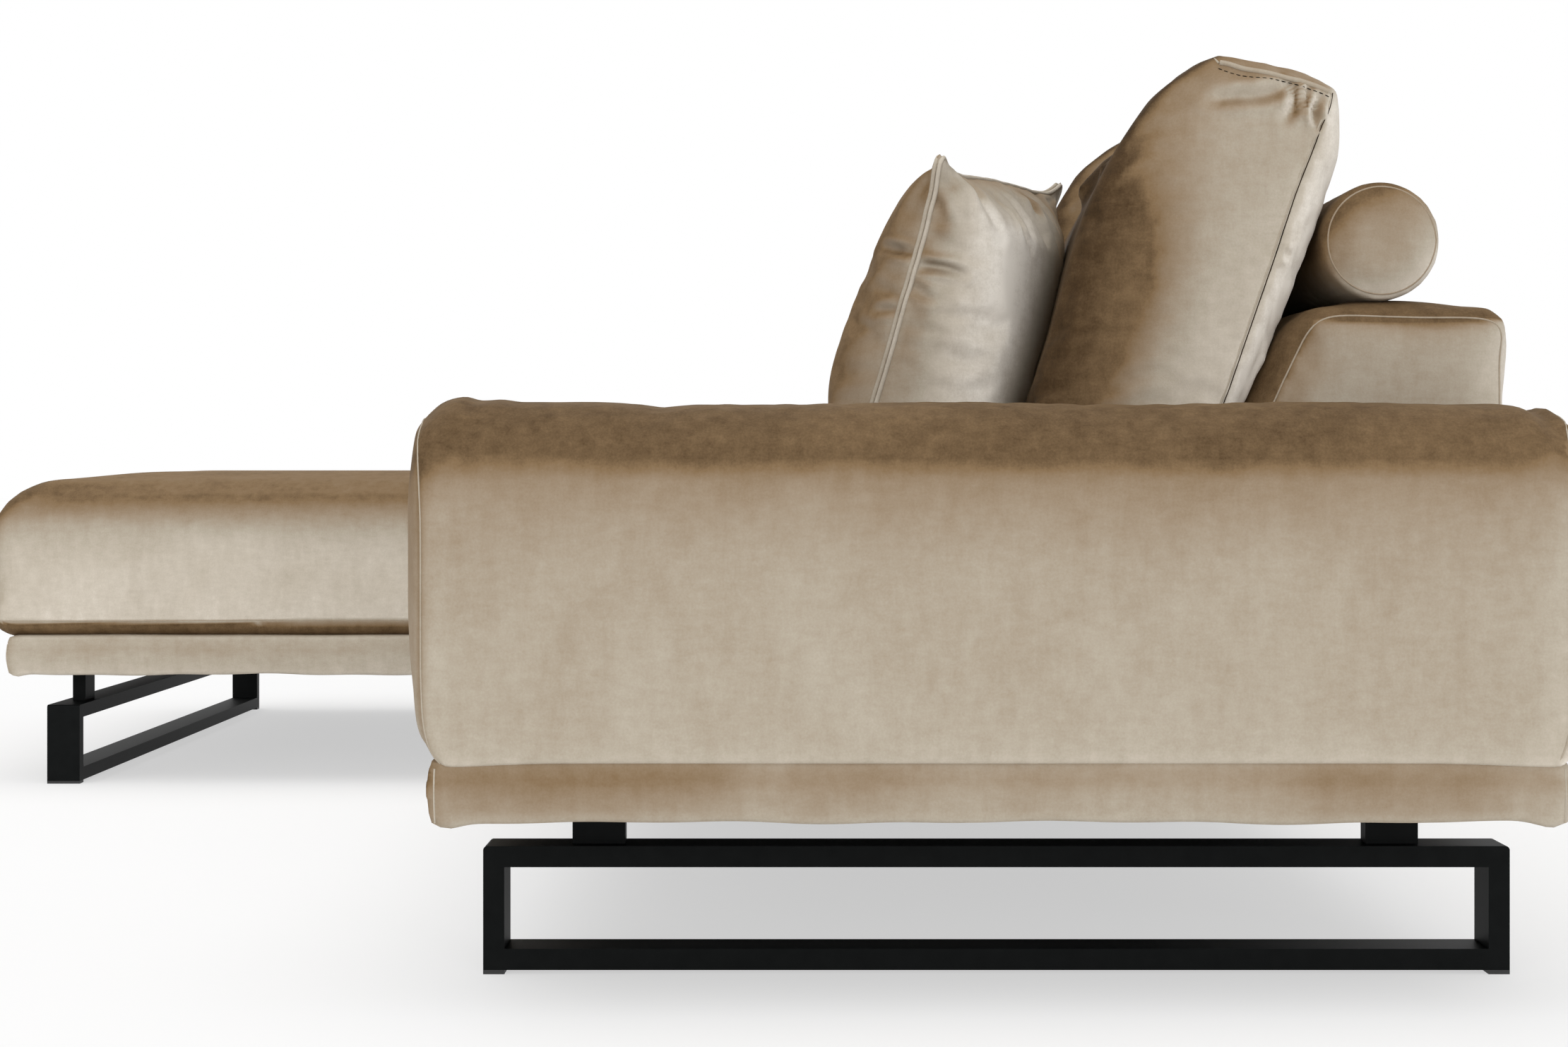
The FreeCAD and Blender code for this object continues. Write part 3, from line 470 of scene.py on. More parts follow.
def cord_tree():
    tree, given, out = new_tree("seam_cord", ["Thickness", "Tone"])
    curve = tree.nodes.new("GeometryNodeMeshToCurve")
    ring = tree.nodes.new("GeometryNodeCurvePrimitiveCircle")
    ring.inputs["Resolution"].default_value = 8
    half = tree.nodes.new("ShaderNodeMath")
    half.operation = "MULTIPLY"
    half.inputs[1].default_value = 0.5
    tube = tree.nodes.new("GeometryNodeCurveToMesh")
    tube.inputs["Fill Caps"].default_value = True
    link = tree.links.new
    link(given.outputs["Path"], curve.inputs[0])
    link(given.outputs["Thickness"], half.inputs[0])
    link(half.outputs[0], ring.inputs["Radius"])
    link(curve.outputs[0], tube.inputs["Curve"])
    link(ring.outputs[0], tube.inputs["Profile Curve"])
    close_tree(tree, given, out, tube.outputs[0])
    return tree


def stitch_tree():
    tree, given, out = new_tree("stitch_row", ["Pitch", "Length", "Thickness", "Tone"])
    curve = tree.nodes.new("GeometryNodeMeshToCurve")
    spots = tree.nodes.new("GeometryNodeCurveToPoints")
    spots.mode = "LENGTH"
    bead = tree.nodes.new("GeometryNodeMeshUVSphere")
    bead.inputs["Segments"].default_value = 6
    bead.inputs["Rings"].default_value = 4
    bead.inputs["Radius"].default_value = 0.5
    size = tree.nodes.new("ShaderNodeCombineXYZ")
    lay = tree.nodes.new("GeometryNodeInstanceOnPoints")
    link = tree.links.new
    link(given.outputs["Path"], curve.inputs[0])
    link(curve.outputs[0], spots.inputs["Curve"])
    link(given.outputs["Pitch"], spots.inputs["Length"])
    link(given.outputs["Thickness"], size.inputs["X"])
    link(given.outputs["Thickness"], size.inputs["Y"])
    link(given.outputs["Length"], size.inputs["Z"])
    link(spots.outputs["Points"], lay.inputs["Points"])
    link(spots.outputs["Rotation"], lay.inputs["Rotation"])
    link(bead.outputs["Mesh"], lay.inputs["Instance"])
    link(size.outputs[0], lay.inputs["Scale"])
    close_tree(tree, given, out, lay.outputs[0])
    return tree


cord = cord_tree()
stitch_row = stitch_tree()


def path_mesh(name, paths):
    spots, links = [], []
    for path in paths:
        start = len(spots)
        spots.extend(map(tuple, path))
        links.extend((start + i, start + i + 1) for i in range(len(path) - 1))
    mesh = bpy.data.meshes.new(name)
    mesh.from_pydata(spots, links, [])
    return shown(name, mesh)


def lay_seam(name, tree, paths, sizes):
    """One seam piece from all its paths."""
    piece = path_mesh(name, paths)
    maker = piece.modifiers.new("seam", "NODES")
    maker.node_group = tree
    for socket in tree.interface.items_tree:
        if socket.in_out == "INPUT" and socket.name in sizes:
            maker[socket.identifier] = sizes[socket.name]
        if socket.in_out == "INPUT" and socket.name == "Cloth":
            maker[socket.identifier] = velvet
    bake(piece)
    return piece


def settle_on(piece, path, lift, step=0.006):
    """Brings a path onto the cloth of a piece."""
    tree = cloth_tree(piece)
    spots = []
    for spot in rounded_path(path, step):
        near, normal, _, _ = tree.find_nearest(Vector(spot))
        spots.append(near + normal * lift)
    spots = np.array(spots)
    for _ in range(2):
        spots[1:-1] = (spots[:-2] + 2 * spots[1:-1] + spots[2:]) / 4
    return spots


def close_seams(name, pieces, body):
    """Joins the seam pieces of one body."""
    shell = bmesh.new()
    for piece in pieces:
        shell.from_mesh(piece.data)
    mesh = bpy.data.meshes.new(name)
    shell.to_mesh(mesh)
    shell.free()
    for piece in pieces:
        bpy.data.objects.remove(piece)
    mesh.shade_smooth()
    mesh.materials.clear()
    mesh.materials.append(velvet)
    seams = shown(name, mesh)
    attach(seams, body)
    return seams


# The photograph's view: the eye looks level along -X, and a point's pixel goes with its depth behind the arm's face
frame_width, frame_height = 2220, 1482
focal = 3500
axis_x, axis_y = 1140, 680
arm_face_x = 1.460
eye_distance = 2.143
eye_y, eye_z = 0.2885, 0.466


def seen_at(depth, pixel_x, pixel_y):
    scale = (eye_distance + depth) / focal
    return (arm_face_x - depth, eye_y + (pixel_x - axis_x) * scale, eye_z - (pixel_y - axis_y) * scale)


def seen_line(depth, pixels):
    return [seen_at(depth, x, y) for x, y in pixels]


def seen_on(piece, pixels):
    """The photograph's line laid on the cloth of a piece."""
    tree = cloth_tree(piece)
    start = Vector((arm_face_x + eye_distance, eye_y, eye_z))
    line = []
    for x, y in pixels:
        hit = tree.ray_cast(start, (Vector(seen_at(1.0, x, y)) - start).normalized())[0]
        if hit is not None:
            line.append(tuple(hit))
    return line


def bell(values, middle, width):
    return np.exp(-((values - middle) / width) ** 2)


def distance_from(piece, spots):
    """Each point's distance to the cloth of a piece."""
    tree = cloth_tree(piece)
    return np.array([tree.find_nearest(Vector(spot))[3] for spot in spots])


def behind_front(spots, levels=59):
    """How far each point lies behind the foremost one at its height."""
    height = spots[:, 2]
    steps = np.linspace(height.min(), height.max(), levels + 1)
    level = np.clip(np.searchsorted(steps, height) - 1, 0, levels - 1)
    fronts = [(steps[k] + steps[k + 1], spots[level == k, 1].min()) for k in range(levels) if (level == k).any()]
    middles, foremost = np.array(fronts).T
    return spots[:, 1] - np.interp(height, middles / 2, foremost)


sofa_seams = []

# Arm: a slab whose near face rolls over the top, with a panel let into its front and rear ends
arm_middle_x, arm_middle_y = 1.340, 0.4537
arm_half_width = 0.12

# Curves of the arm's ends: heights, and how far the cloth draws in there at the panel's edge and in its middle
edge_tuck_curve = (
    [0.214, 0.2195, 0.225, 0.2335, 0.243, 0.257, 0.272, 0.30, 0.48, 0.50, 0.52],
    [0.013, 0.010, 0.0065, 0.004, 0.001, -0.001, -0.002, -0.003, -0.003, -0.001, 0.004])
panel_tuck_curve = (
    [0.214, 0.2195, 0.225, 0.2335, 0.243, 0.257, 0.276, 0.29, 0.31, 0.35, 0.45, 0.47, 0.49, 0.50, 0.511, 0.525, 0.54],
    [0.026, 0.025, 0.0195, 0.0152, 0.012, 0.0097, 0.0073, 0.0059, 0.004, 0.0022, 0.0022, 0.0046, 0.0075, 0.009, 0.0105,
     0.0105, 0.008])
# How much fuller the top gets toward each end, by the distance from the arm's middle
end_steps = [0.441, 0.456, 0.469, 0.478, 0.484, 0.496, 0.500]
front_end_rise = [0, -0.0018, -0.0004, 0.0032, 0.0052, 0.0080, 0.0100]
rear_end_rise = [0, 0.0005, -0.0005, -0.0045, -0.0058, -0.0030, 0.0080]
# The panel's front edge by height, as its tone and as its welt follow it
panel_edge_curve = ([0.215, 0.225, 0.2335, 0.25, 0.28, 0.48, 0.51],
                    [-0.031, -0.038, -0.0415, -0.0455, -0.0475, -0.0475, -0.0435])
welt_curve = ([0.215, 0.225, 0.2335, 0.25, 0.28, 0.44, 0.503, 0.521],
              [-0.031, -0.038, -0.0415, -0.0455, -0.0475, -0.0475, -0.0500, -0.0550])
# The lower edge of the painted shade band along the arm's top
top_shade_band_curve = ([-0.05, 0.02, 0.20, 0.5, 0.95], [0.480, 0.468, 0.448, 0.445, 0.450])
half_panel = [(1.4565, 0.2155), (1.4585, 0.225), (1.4595, 0.24), (1.4600, 0.27), (1.4600, 0.36), (1.4590, 0.44),
              (1.4540, 0.478), (1.4400, 0.503), (1.4150, 0.515), (1.38, 0.520), (1.34, 0.521)]


def shape_arm(arm):
    spots = points_of(arm)
    x, y, z = spots.T
    reach = y - arm_middle_y
    end_share = ease(0.43, 0.50, np.abs(reach))
    inner_share = ease(0.0, 0.55, 1 - np.abs(x - arm_middle_x) / arm_half_width)
    tuck = np.interp(z, *edge_tuck_curve) * (1 - inner_share) + np.interp(z, *panel_tuck_curve) * inner_share
    y -= np.sign(reach) * end_share * tuck
    lip = ease(1.440, 1.456, x) * (1 - ease(0.226, 0.250, z))
    z -= lip * (0.0090 + 0.0035 * ease(0.38, 0.49, np.abs(reach)))
    upper = ease(0.49, 0.53, z)
    z -= upper * (0.006 * ease(0.475, 0.51, np.abs(reach)) + 0.0015)
    fuller = np.where(reach < 0, np.interp(-reach, end_steps, front_end_rise),
                      np.interp(reach, end_steps, rear_end_rise))
    y += 0.012 * ease(0.40, 0.50, reach)
    z += fuller * ease(0.42, 0.50, z)
    z += upper * (0.0042 * bell(y, -0.004, 0.028) - 0.0030 * bell(y, 0.158, 0.030) + 0.0012 * np.sin(y * 19.0))
    place(arm, spots)
    loose = 0.8 * ease(0.235, 0.30, z) * (1 - 0.7 * ease(0.47, 0.50, np.abs(reach)))
    plump(arm, 1 - loose, growth=0.006, pressure=0.8, cap=0.006, keep=0.15)
    refine(arm)


def tone_arm(arm):
    # Painted shade on the arm's top band and upper part, less painted shade on the front panel, and a painted
    # highlight along the near face's rim.
    x, y, z = points_of(arm).T
    front_edge = np.interp(z, *panel_edge_curve)
    past = np.maximum(front_edge - y, y - (2 * arm_middle_y - front_edge))
    panel = ease(-0.001, 0.004, past) * (1 - ease(0.505, 0.525, z))
    rim_highlight = ease(0.0, 0.004, -past) * (1 - ease(0.012, 0.04, -past)) * ease(1.45, 1.457, x) * (1 - ease(0.44, 0.50, z))
    band = ease(-0.06, 0.065, z - np.interp(y, *top_shade_band_curve))
    shade = -0.12 * band - 0.08 * ease(0.34, 0.52, z) - 0.03 * ease(0.47, 0.52, z)
    paint_tone_and_shading(arm, tone=-0.07, fall=0.09, shade=shade + 0.15 * panel + 0.05 * rim_highlight, detail=0.5)


arm = skin_of("arm", ["arm_upholstery"], voxel=0.010)
shape_arm(arm)
tone_arm(arm)
finish_cloth(arm, ["arm_upholstery"], "sofa")
panel_line = half_panel + [(2 * arm_middle_x - x, z) for x, z in half_panel[-2::-1]]
front_welt = [(x, np.interp(z, *welt_curve), z) for x, z in panel_line]
rear_welt = [(x, 2 * arm_middle_y - y, z) for x, y, z in front_welt]
arm_welts = [settle_on(arm, line, lift=0.0002) for line in (front_welt, rear_welt)]
sofa_seams.append(lay_seam("arm_welt", cord, arm_welts, {"Thickness": 0.0016, "Tone": 0.48}))

# Backrests: padded wedges with a stitched seam round each end
wedge_depth = 0.245
end_profile = [
    (1789, 600), (1804.5, 564.9), (1824.4, 518.5), (1842.6, 478.7), (1859.2, 457.1), (1879, 445.5), (1912, 441.5),
    (1985, 442.9), (2064.8, 447.2), (2111, 450.5), (2127.8, 457), (2132.8, 485), (2135, 568), (2135, 760)]


def make_backrest(name, node):
    wedge = skin_of(name, [node], voxel=0.012)
    spots = points_of(wedge)
    _, y, z = spots.T
    y += 0.0035 * ease(0.90, 0.95, y) * ease(0.26, 0.34, z)
    place(wedge, spots)
    plump(wedge, 1 - ease(0.24, 0.34, z), growth=0.008, pressure=2, cap=0.007, keep=0.25)
    refine(wedge)
    facing = facing_of(wedge)
    # Painted shade on the top and on the front slope.
    shade = -0.72 * ease(0.25, 0.8, facing[:, 2]) - 0.45 * ease(0.2, 0.7, -facing[:, 1])
    paint_tone_and_shading(wedge, tone=-0.03, fall=0.06, shade=shade, detail=0.9, floor=0.10)
    finish_cloth(wedge, [node], "sofa")
    low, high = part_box(node)
    profile = seen_line(wedge_depth, end_profile)
    lines = [settle_on(wedge, [(end_x, y, z) for _, y, z in profile], lift=0.0001)
             for end_x in (low[0] + 0.001, high[0] - 0.001)]
    sofa_seams.append(lay_seam(name + "_seam", cord, lines, {"Thickness": 0.0018, "Tone": 0.40}))
    sofa_seams.append(lay_seam(name + "_stitches", stitch_row, lines,
                               {"Pitch": 0.0052, "Length": 0.0036, "Thickness": 0.0018, "Tone": 0.66}))
    return wedge


main_backrest = make_backrest("main_backrest", "main_back_upholstery")
chaise_backrest = make_backrest("chaise_backrest", "chaise_back_upholstery")

# Seat cushions: a boxed side over an under panel that turns in below its seam
seat_seam_height = 0.2495
seat_corner = 0.030


def make_seat(name, node, voxel):
    seat = skin_of(name, [node], voxel)
    plump(seat, 1 - ease(0.24, 0.30, points_of(seat)[:, 2]), growth=0.008, pressure=2, cap=0.010, keep=0.15)
    refine(seat)
    low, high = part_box(node)
    height = points_of(seat)[:, 2]
    # Painted shade on the top and strong painted shade on the under panel below the seam, with a little painted light
    # back on faces that look straight up.
    shade = -0.28 * ease(0.33, high[2] - 0.03, height) - 0.66 * (1 - ease(0.246, 0.2515, height))
    shade += 0.12 * ease(0.7, 1.0, facing_of(seat)[:, 2])
    paint_tone_and_shading(seat, tone=0.165, fall=0.0, shade=shade)
    finish_cloth(seat, [node], "sofa")
    ring = []
    for x, y, turn in ((low[0], low[1], 180), (high[0], low[1], 270), (high[0], high[1], 0), (low[0], high[1], 90)):
        middle_x = x + seat_corner * (1 if x == low[0] else -1)
        middle_y = y + seat_corner * (1 if y == low[1] else -1)
        for step in range(7):
            angle = math.radians(turn + step * 15)
            ring.append((middle_x + seat_corner * math.cos(angle), middle_y + seat_corner * math.sin(angle),
                         seat_seam_height))
    ring.append(ring[0])
    sofa_seams.append(lay_seam(name + "_seam", cord, [settle_on(seat, ring, lift=0.0)],
                               {"Thickness": 0.0022, "Tone": 0.42}))
    return seat


make_seat("chaise_seat", "chaise_seat_cushion", voxel=0.016)
seat_1 = make_seat("seat_1", "main_seat_cushion_1", voxel=0.012)
make_seat("seat_2", "main_seat_cushion_2", voxel=0.012)


# Bolster: a roll with a disc sewn into each end

def make_bolster(moved_back=0.0025, ring_inset=0.003, ring_from_end=0.008):
    roll = skin_of("bolster_roll", ["bolster"], voxel=0.007)
    spots = points_of(roll)
    spots[:, 1] += moved_back
    place(roll, spots)
    plump(roll, np.full(len(spots), 0.3), growth=0.006, pressure=1, cap=0.004, keep=0.2)
    refine(roll)
    low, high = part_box("bolster")
    centre_y, centre_z = (low[1] + high[1]) / 2 + moved_back, (low[2] + high[2]) / 2
    radius = (high[2] - low[2]) / 2
    _, y, z = points_of(roll).T
    from_axis = np.hypot(y - centre_y, z - centre_z) / radius
    lower_right = (y - centre_y) * 0.5 - (z - centre_z)
    # Painted light on the roll's lower right.
    paint_tone_and_shading(roll, tone=-0.15, fall=0.12, shade=0.16 * ease(0.0, 0.05, lower_right) * ease(0.55, 0.95, from_axis))
    finish_cloth(roll, ["bolster"], "bolster")
    rings = []
    for end_x in (high[0] - ring_from_end, low[0] + ring_from_end):
        ring = [(end_x, centre_y + (radius - ring_inset) * math.cos(t), centre_z + (radius - ring_inset) * math.sin(t))
                for t in np.linspace(0, 2 * math.pi, 73)]
        rings.append(settle_on(roll, ring, lift=0.0))
    ring_seam = lay_seam("bolster_ring", cord, rings, {"Thickness": 0.0018, "Tone": 0.34})
    close_seams("bolster_roll_seams", [ring_seam], "bolster")
    return roll


bolster_roll = make_bolster()

# Throw pillow: two panels that meet in a knife edge, drawn in between its corners
pillow_near, pillow_span = 0.300, 0.390
pillow_lean = np.array((-0.100, -0.279, -0.965)) * 0.338
pillow_rear = np.array((0.362, 0.894, -0.262))


def pillow_form(across=64, upward=52):
    """The filled pillow and its edge. a runs from its far side to its near side, b from its foot to its top."""
    near_top = np.array(seen_at(pillow_near, 1330, 202))
    far_top = np.array(seen_at(pillow_near + pillow_span, 1509, 247))
    a, b = np.meshgrid(np.linspace(-1, 1, across + 1), np.linspace(-1, 1, upward + 1))
    pull_a = a * (1 - 0.105 * (1 - b ** 4) * np.abs(a) ** 3) * (1 - 0.045 * np.abs(a) ** 4 * b ** 20)
    pull_b = b * (1 - 0.168 * (1 - a ** 8) * np.abs(b) ** 3 * (b > 0)) * (1 - 0.045 * np.abs(b) ** 4 * a ** 24)
    top = near_top + (far_top - near_top) * ((1 - pull_a) / 2)[..., None]
    middle = top + pillow_lean * ((1 - pull_b) / 2)[..., None]
    middle += pillow_rear * (0.003 * (1 - b ** 2) * np.clip(a, 0, 1) ** 2)[..., None]
    front_swell = ((1 - np.abs(a) ** 3.4) * (1 - np.abs(b) ** 3.4)) ** 0.62
    edge_fill = 2.0 + 1.8 * ease(-0.75, -0.1, a)
    rear_swell = ((1 - np.abs(a) ** np.where(a < 0, 1.6, 3.4)) * (1 - np.abs(b) ** edge_fill)) ** 0.62
    front_depth = 0.081 * (1 - 0.24 * b) * front_swell
    rear_depth = 0.104 * (1 - 0.40 * b) * rear_swell
    sheets = [middle - pillow_rear * front_depth[..., None], middle + pillow_rear * rear_depth[..., None]]
    shell = bmesh.new()
    for turn, sheet in enumerate(sheets):
        grid = [[shell.verts.new(spot) for spot in row] for row in sheet]
        for j in range(upward):
            for i in range(across):
                face = [grid[j][i], grid[j][i + 1], grid[j + 1][i + 1], grid[j + 1][i]]
                shell.faces.new(face[::-1] if turn else face)
    bmesh.ops.remove_doubles(shell, verts=shell.verts, dist=1e-6)
    bmesh.ops.recalc_face_normals(shell, faces=shell.faces)
    mesh = bpy.data.meshes.new("pillow")
    shell.to_mesh(mesh)
    shell.free()
    edge = np.concatenate([middle[0], middle[1:, -1], middle[-1, -2::-1], middle[-2::-1, 0]])
    return shown("pillow", mesh), edge


pillow, pillow_edge = pillow_form()

# Loose back cushions: a round front, a flat top panel between two seams and a fuller back.
# The lines and heights are those of the cushions on the main module, and the chaise's lie a little higher.
chaise_lift = 0.0066
back_line = [(0.5145, 0.8436), (0.508, 0.828), (0.500, 0.808), (0.493, 0.789), (0.476, 0.747), (0.459, 0.695),
             (0.445, 0.654), (0.432, 0.617), (0.422, 0.588), (0.406, 0.543), (0.388, 0.490)]
top_line = [(0.4008, 0.8774), (0.4217, 0.8650), (0.4426, 0.8597), (0.4636, 0.8539), (0.4844, 0.8482), (0.5077, 0.8398)]
back_y, back_z = np.array(back_line[::-1]).T
back_swell_curve = ([0.49, 0.545, 0.586, 0.636, 0.68, 0.737, 0.782, 0.80, 0.82, 0.843, 0.86],
                    [0.024, 0.026, 0.031, 0.032, 0.034, 0.036, 0.032, 0.028, 0.018, 0.009, 0.004])
# How each cushion lies: its far end turned back, its low front and its whole front set back, and its top sunk
cushion_lay = {
    1: (0.034, 0.020, 0.0, 0.0),
    2: (0.036, 0.010, 0.004, -0.011),
    3: (0.026, 0.004, 0.016, 0.008),
    4: (0.018, 0.004, 0.016, 0.010),
}
# Gathers by the first cushion's top corner and a dent by its rear seam: pixels, width and depth
cushion_creases = [
    ([(1715, 141), (1735, 137), (1771, 137), (1800, 131), (1822, 124)], 0.006, 0.0055),
    ([(1826, 120), (1838, 134), (1834, 150), (1820, 170)], 0.005, 0.0060),
    ([(1866, 140), (1861, 150), (1859, 163), (1866, 176)], 0.004, 0.0080),
    ([(1852, 126), (1846, 140), (1850, 154)], 0.004, 0.0045),
    ([(1816, 357), (1828, 364), (1843, 378)], 0.004, 0.0030)]


def from_ends(x, low, high):
    """How far each point lies from the nearer end of a cushion."""
    return np.minimum(x - low[0], high[0] - x)


def round_out(depth, radius):
    """A quarter round that is full at its radius."""
    return np.sqrt(np.clip(1 - (1 - np.clip(depth / radius, 0, 1)) ** 2, 0, 1))


def shape_pad(pad, low, high, lift, lay):
    far_turn, low_back, front_back, sink = lay
    spots = points_of(pad)
    x, y, z = spots.T
    behind = behind_front(spots)
    middle_x = (low[0] + high[0]) / 2
    half_x = (high[0] - low[0]) / 2 - 0.045 * (1 - round_out(behind, 0.105))
    x[:] = middle_x + np.clip(x - middle_x, -half_x, half_x)
    inward = from_ends(x, low, high)
    height = z - lift
    spread = round_out(inward, 0.045) + 0.10 * ease(0.05, 0.25, inward)
    rear = ease(0.15, 0.6, facing_of(pad)[:, 1]) * ease(0.50, 0.55, height)
    target = eye_y + np.interp(height, back_z, back_y) + np.interp(height, *back_swell_curve) * spread
    y += rear * (target - y)
    rise = (z - low[2]) / (high[2] - low[2])
    far_share = (high[0] - x) / (high[0] - low[0])
    front = 1 - ease(0.05, 0.17, behind)
    y += far_turn * far_share * front * ease(0.08, 0.25, rise)
    y += low_back * front * (1 - ease(0.60, 0.79, z))
    y += front_back * front
    z -= sink * ease(0.5, 1.0, rise)
    crest = ease(0.9, 0.97, rise)
    puff = ease(0.004, 0.03, inward) * (1 - ease(0.08, 0.20, inward))
    z += crest * (0.004 * bell(y, 0.690, 0.016) - 0.006 * bell(y, 0.742, 0.036) + 0.008 * bell(y, 0.772, 0.045) * puff)
    z -= crest * 0.005 * ease(0.03, 0.25, inward)
    place(pad, spots)


def tone_pad(pad, shadow_of=None):
    # Painted shading: painted shade on the front where it turns away and deep in its lower part, painted light further
    # back, on the back panel and at the top and the foot, and a painted shadow where the pillow lies against the
    # cushion; the floor lets this painted shade go near black.
    spots = points_of(pad)
    height = spots[:, 2]
    behind = behind_front(spots)
    front = 1 - ease(0.0, 0.17, behind)
    turned = front * (1 - ease(0.68, 0.82, height))
    deep = front * bell(height, 0.61, 0.11)
    lit = ease(0.08, 0.17, behind) * (1 - ease(0.70, 0.80, height))
    backed = ease(0.2, 0.7, facing_of(pad)[:, 1])
    ends = 0.4 * ease(0.78, 0.85, height) + 1.8 * (1 - ease(0.56, 0.70, height))
    shadow = np.zeros(len(spots)) if shadow_of is None else np.exp(-distance_from(shadow_of, spots) / 0.014)
    shade = 0.06 * ends - 0.24 * turned - 0.42 * deep + 0.09 * lit + 0.15 * backed - 0.3 * shadow
    floor = (0.045 + 0.065 * ease(0.0, 0.08, behind)) * (1 - 0.75 * shadow)
    paint_tone_and_shading(pad, tone=-0.045, fall=0.02, shade=shade, detail=0.7, floor=floor)


def sew_pad(pad, node, low, high, lift):
    middle_x = (low[0] + high[0]) / 2
    seam_shade_lines, ridges, flanges, stitches = [], [], [], []
    for end_x, out in ((high[0] - 0.003, 1), (low[0] + 0.003, -1)):
        # A thin dark cord along each back seam: painted shade in the seam's groove.
        seam_shade_lines.append(settle_on(pad, [(end_x, eye_y + y, z + lift) for y, z in back_line], lift=0.0004))
        ridges.append(settle_on(pad, [(end_x, eye_y - 0.0027 + y, z + lift) for y, z in back_line], lift=-0.0004))
        flanges.append(settle_on(pad, [(end_x, eye_y + y, z + lift + 0.0035) for y, z in top_line], lift=0.0004))
        stitches.append(settle_on(pad, [(end_x + out * 0.01, eye_y + y, z + lift) for y, z in top_line], lift=0.0))
    for y, z in (top_line[0], top_line[-1]):
        across = [(x, eye_y + y, z + lift) for x in (low[0] + 0.006, middle_x, high[0] - 0.006)]
        ridges.append(settle_on(pad, across, lift=-0.0002))
    return [
        lay_seam(node + "_back_seam_shade", cord, seam_shade_lines, {"Thickness": 0.0011, "Tone": 0.02}),
        lay_seam(node + "_ridge", cord, ridges, {"Thickness": 0.0024, "Tone": 0.50}),
        lay_seam(node + "_flange", cord, flanges, {"Thickness": 0.0052, "Tone": 0.44}),
        lay_seam(node + "_stitches", stitch_row, stitches,
                 {"Pitch": 0.0062, "Length": 0.0048, "Thickness": 0.0012, "Tone": 0.0}),
    ]


pads = {}
for number, lay in cushion_lay.items():
    node = f"back_cushion_{number}"
    behind_it, lift = (main_backrest, 0.0) if number < 3 else (chaise_backrest, chaise_lift)
    by_pillow = number == 1
    low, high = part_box(node)
    pad = skin_of(f"back_pad_{number}", [node], voxel=0.007)
    shape_pad(pad, low, high, lift, lay)
    keep_clear(pad, [behind_it], gap=0.001)
    if by_pillow:
        keep_clear(pad, [pillow], gap=0.001, most=0.020)
    reskin(pad, voxel=0.0090)
    x, _, z = points_of(pad).T
    foot = 1 - ease(0.02, 0.10, z - low[2])
    end_hold = 0.4 * (1 - ease(0.004, 0.03, from_ends(x, low, high)))
    plump(pad, np.maximum(foot, end_hold), growth=0.022, pressure=3, cap=0.009, keep=0.0)
    keep_clear(pad, [behind_it, bolster_roll], gap=0.0015)
    refine(pad)
    if by_pillow:
        for pixels, width, depth in cushion_creases:
            crease(pad, seen_on(pad, pixels), width, depth)
    tone_pad(pad, pillow if by_pillow else None)
    finish_cloth(pad, [node], node)
    close_seams(f"back_pad_{number}_seams", sew_pad(pad, node, low, high, lift), node)
    pads[number] = pad

# The pillow's filling, creases and welts, and its painted strokes of light and shade: pixels, width, and the fold's
# depth or the stroke's tone
pillow_creases = [
    ([(1301, 374), (1316, 378), (1340, 380), (1364, 388)], 0.0045, 0.0070),
    ([(1296, 361), (1276, 354), (1254, 352)], 0.0045, 0.0055),
    ([(1272, 438), (1258, 437), (1240, 440)], 0.0045, 0.0040),
    ([(1324, 276), (1330, 290), (1333, 312)], 0.0050, 0.0045),
    ([(1290, 402), (1304, 412), (1318, 424)], 0.0045, 0.0040),
    ([(1368, 256), (1392, 286), (1410, 312), (1420, 336)], 0.0060, 0.0035),
    ([(1410, 276), (1434, 296), (1450, 326), (1460, 350)], 0.0060, 0.0045),
    ([(1449, 276), (1457, 284), (1464, 293), (1470, 304)], 0.0070, 0.0045)]
pillow_light_and_shade_strokes = [
    ([(1324, 278), (1331, 300), (1334, 325)], 0.011, -0.20),
    ([(1340, 248), (1350, 262)], 0.009, -0.14),
    ([(1311, 352), (1320, 370)], 0.010, -0.16),
    ([(1300, 400), (1296, 420), (1306, 440)], 0.012, -0.12),
    ([(1288, 470), (1280, 500)], 0.012, -0.10),
    ([(1360, 250), (1384, 276), (1406, 304), (1420, 336)], 0.010, 0.10),
    ([(1428, 280), (1450, 304), (1464, 344)], 0.008, 0.12),
    ([(1450, 276), (1458, 284), (1465, 294)], 0.012, -0.14)]
welt_gap = pillow_rear * 0.0024


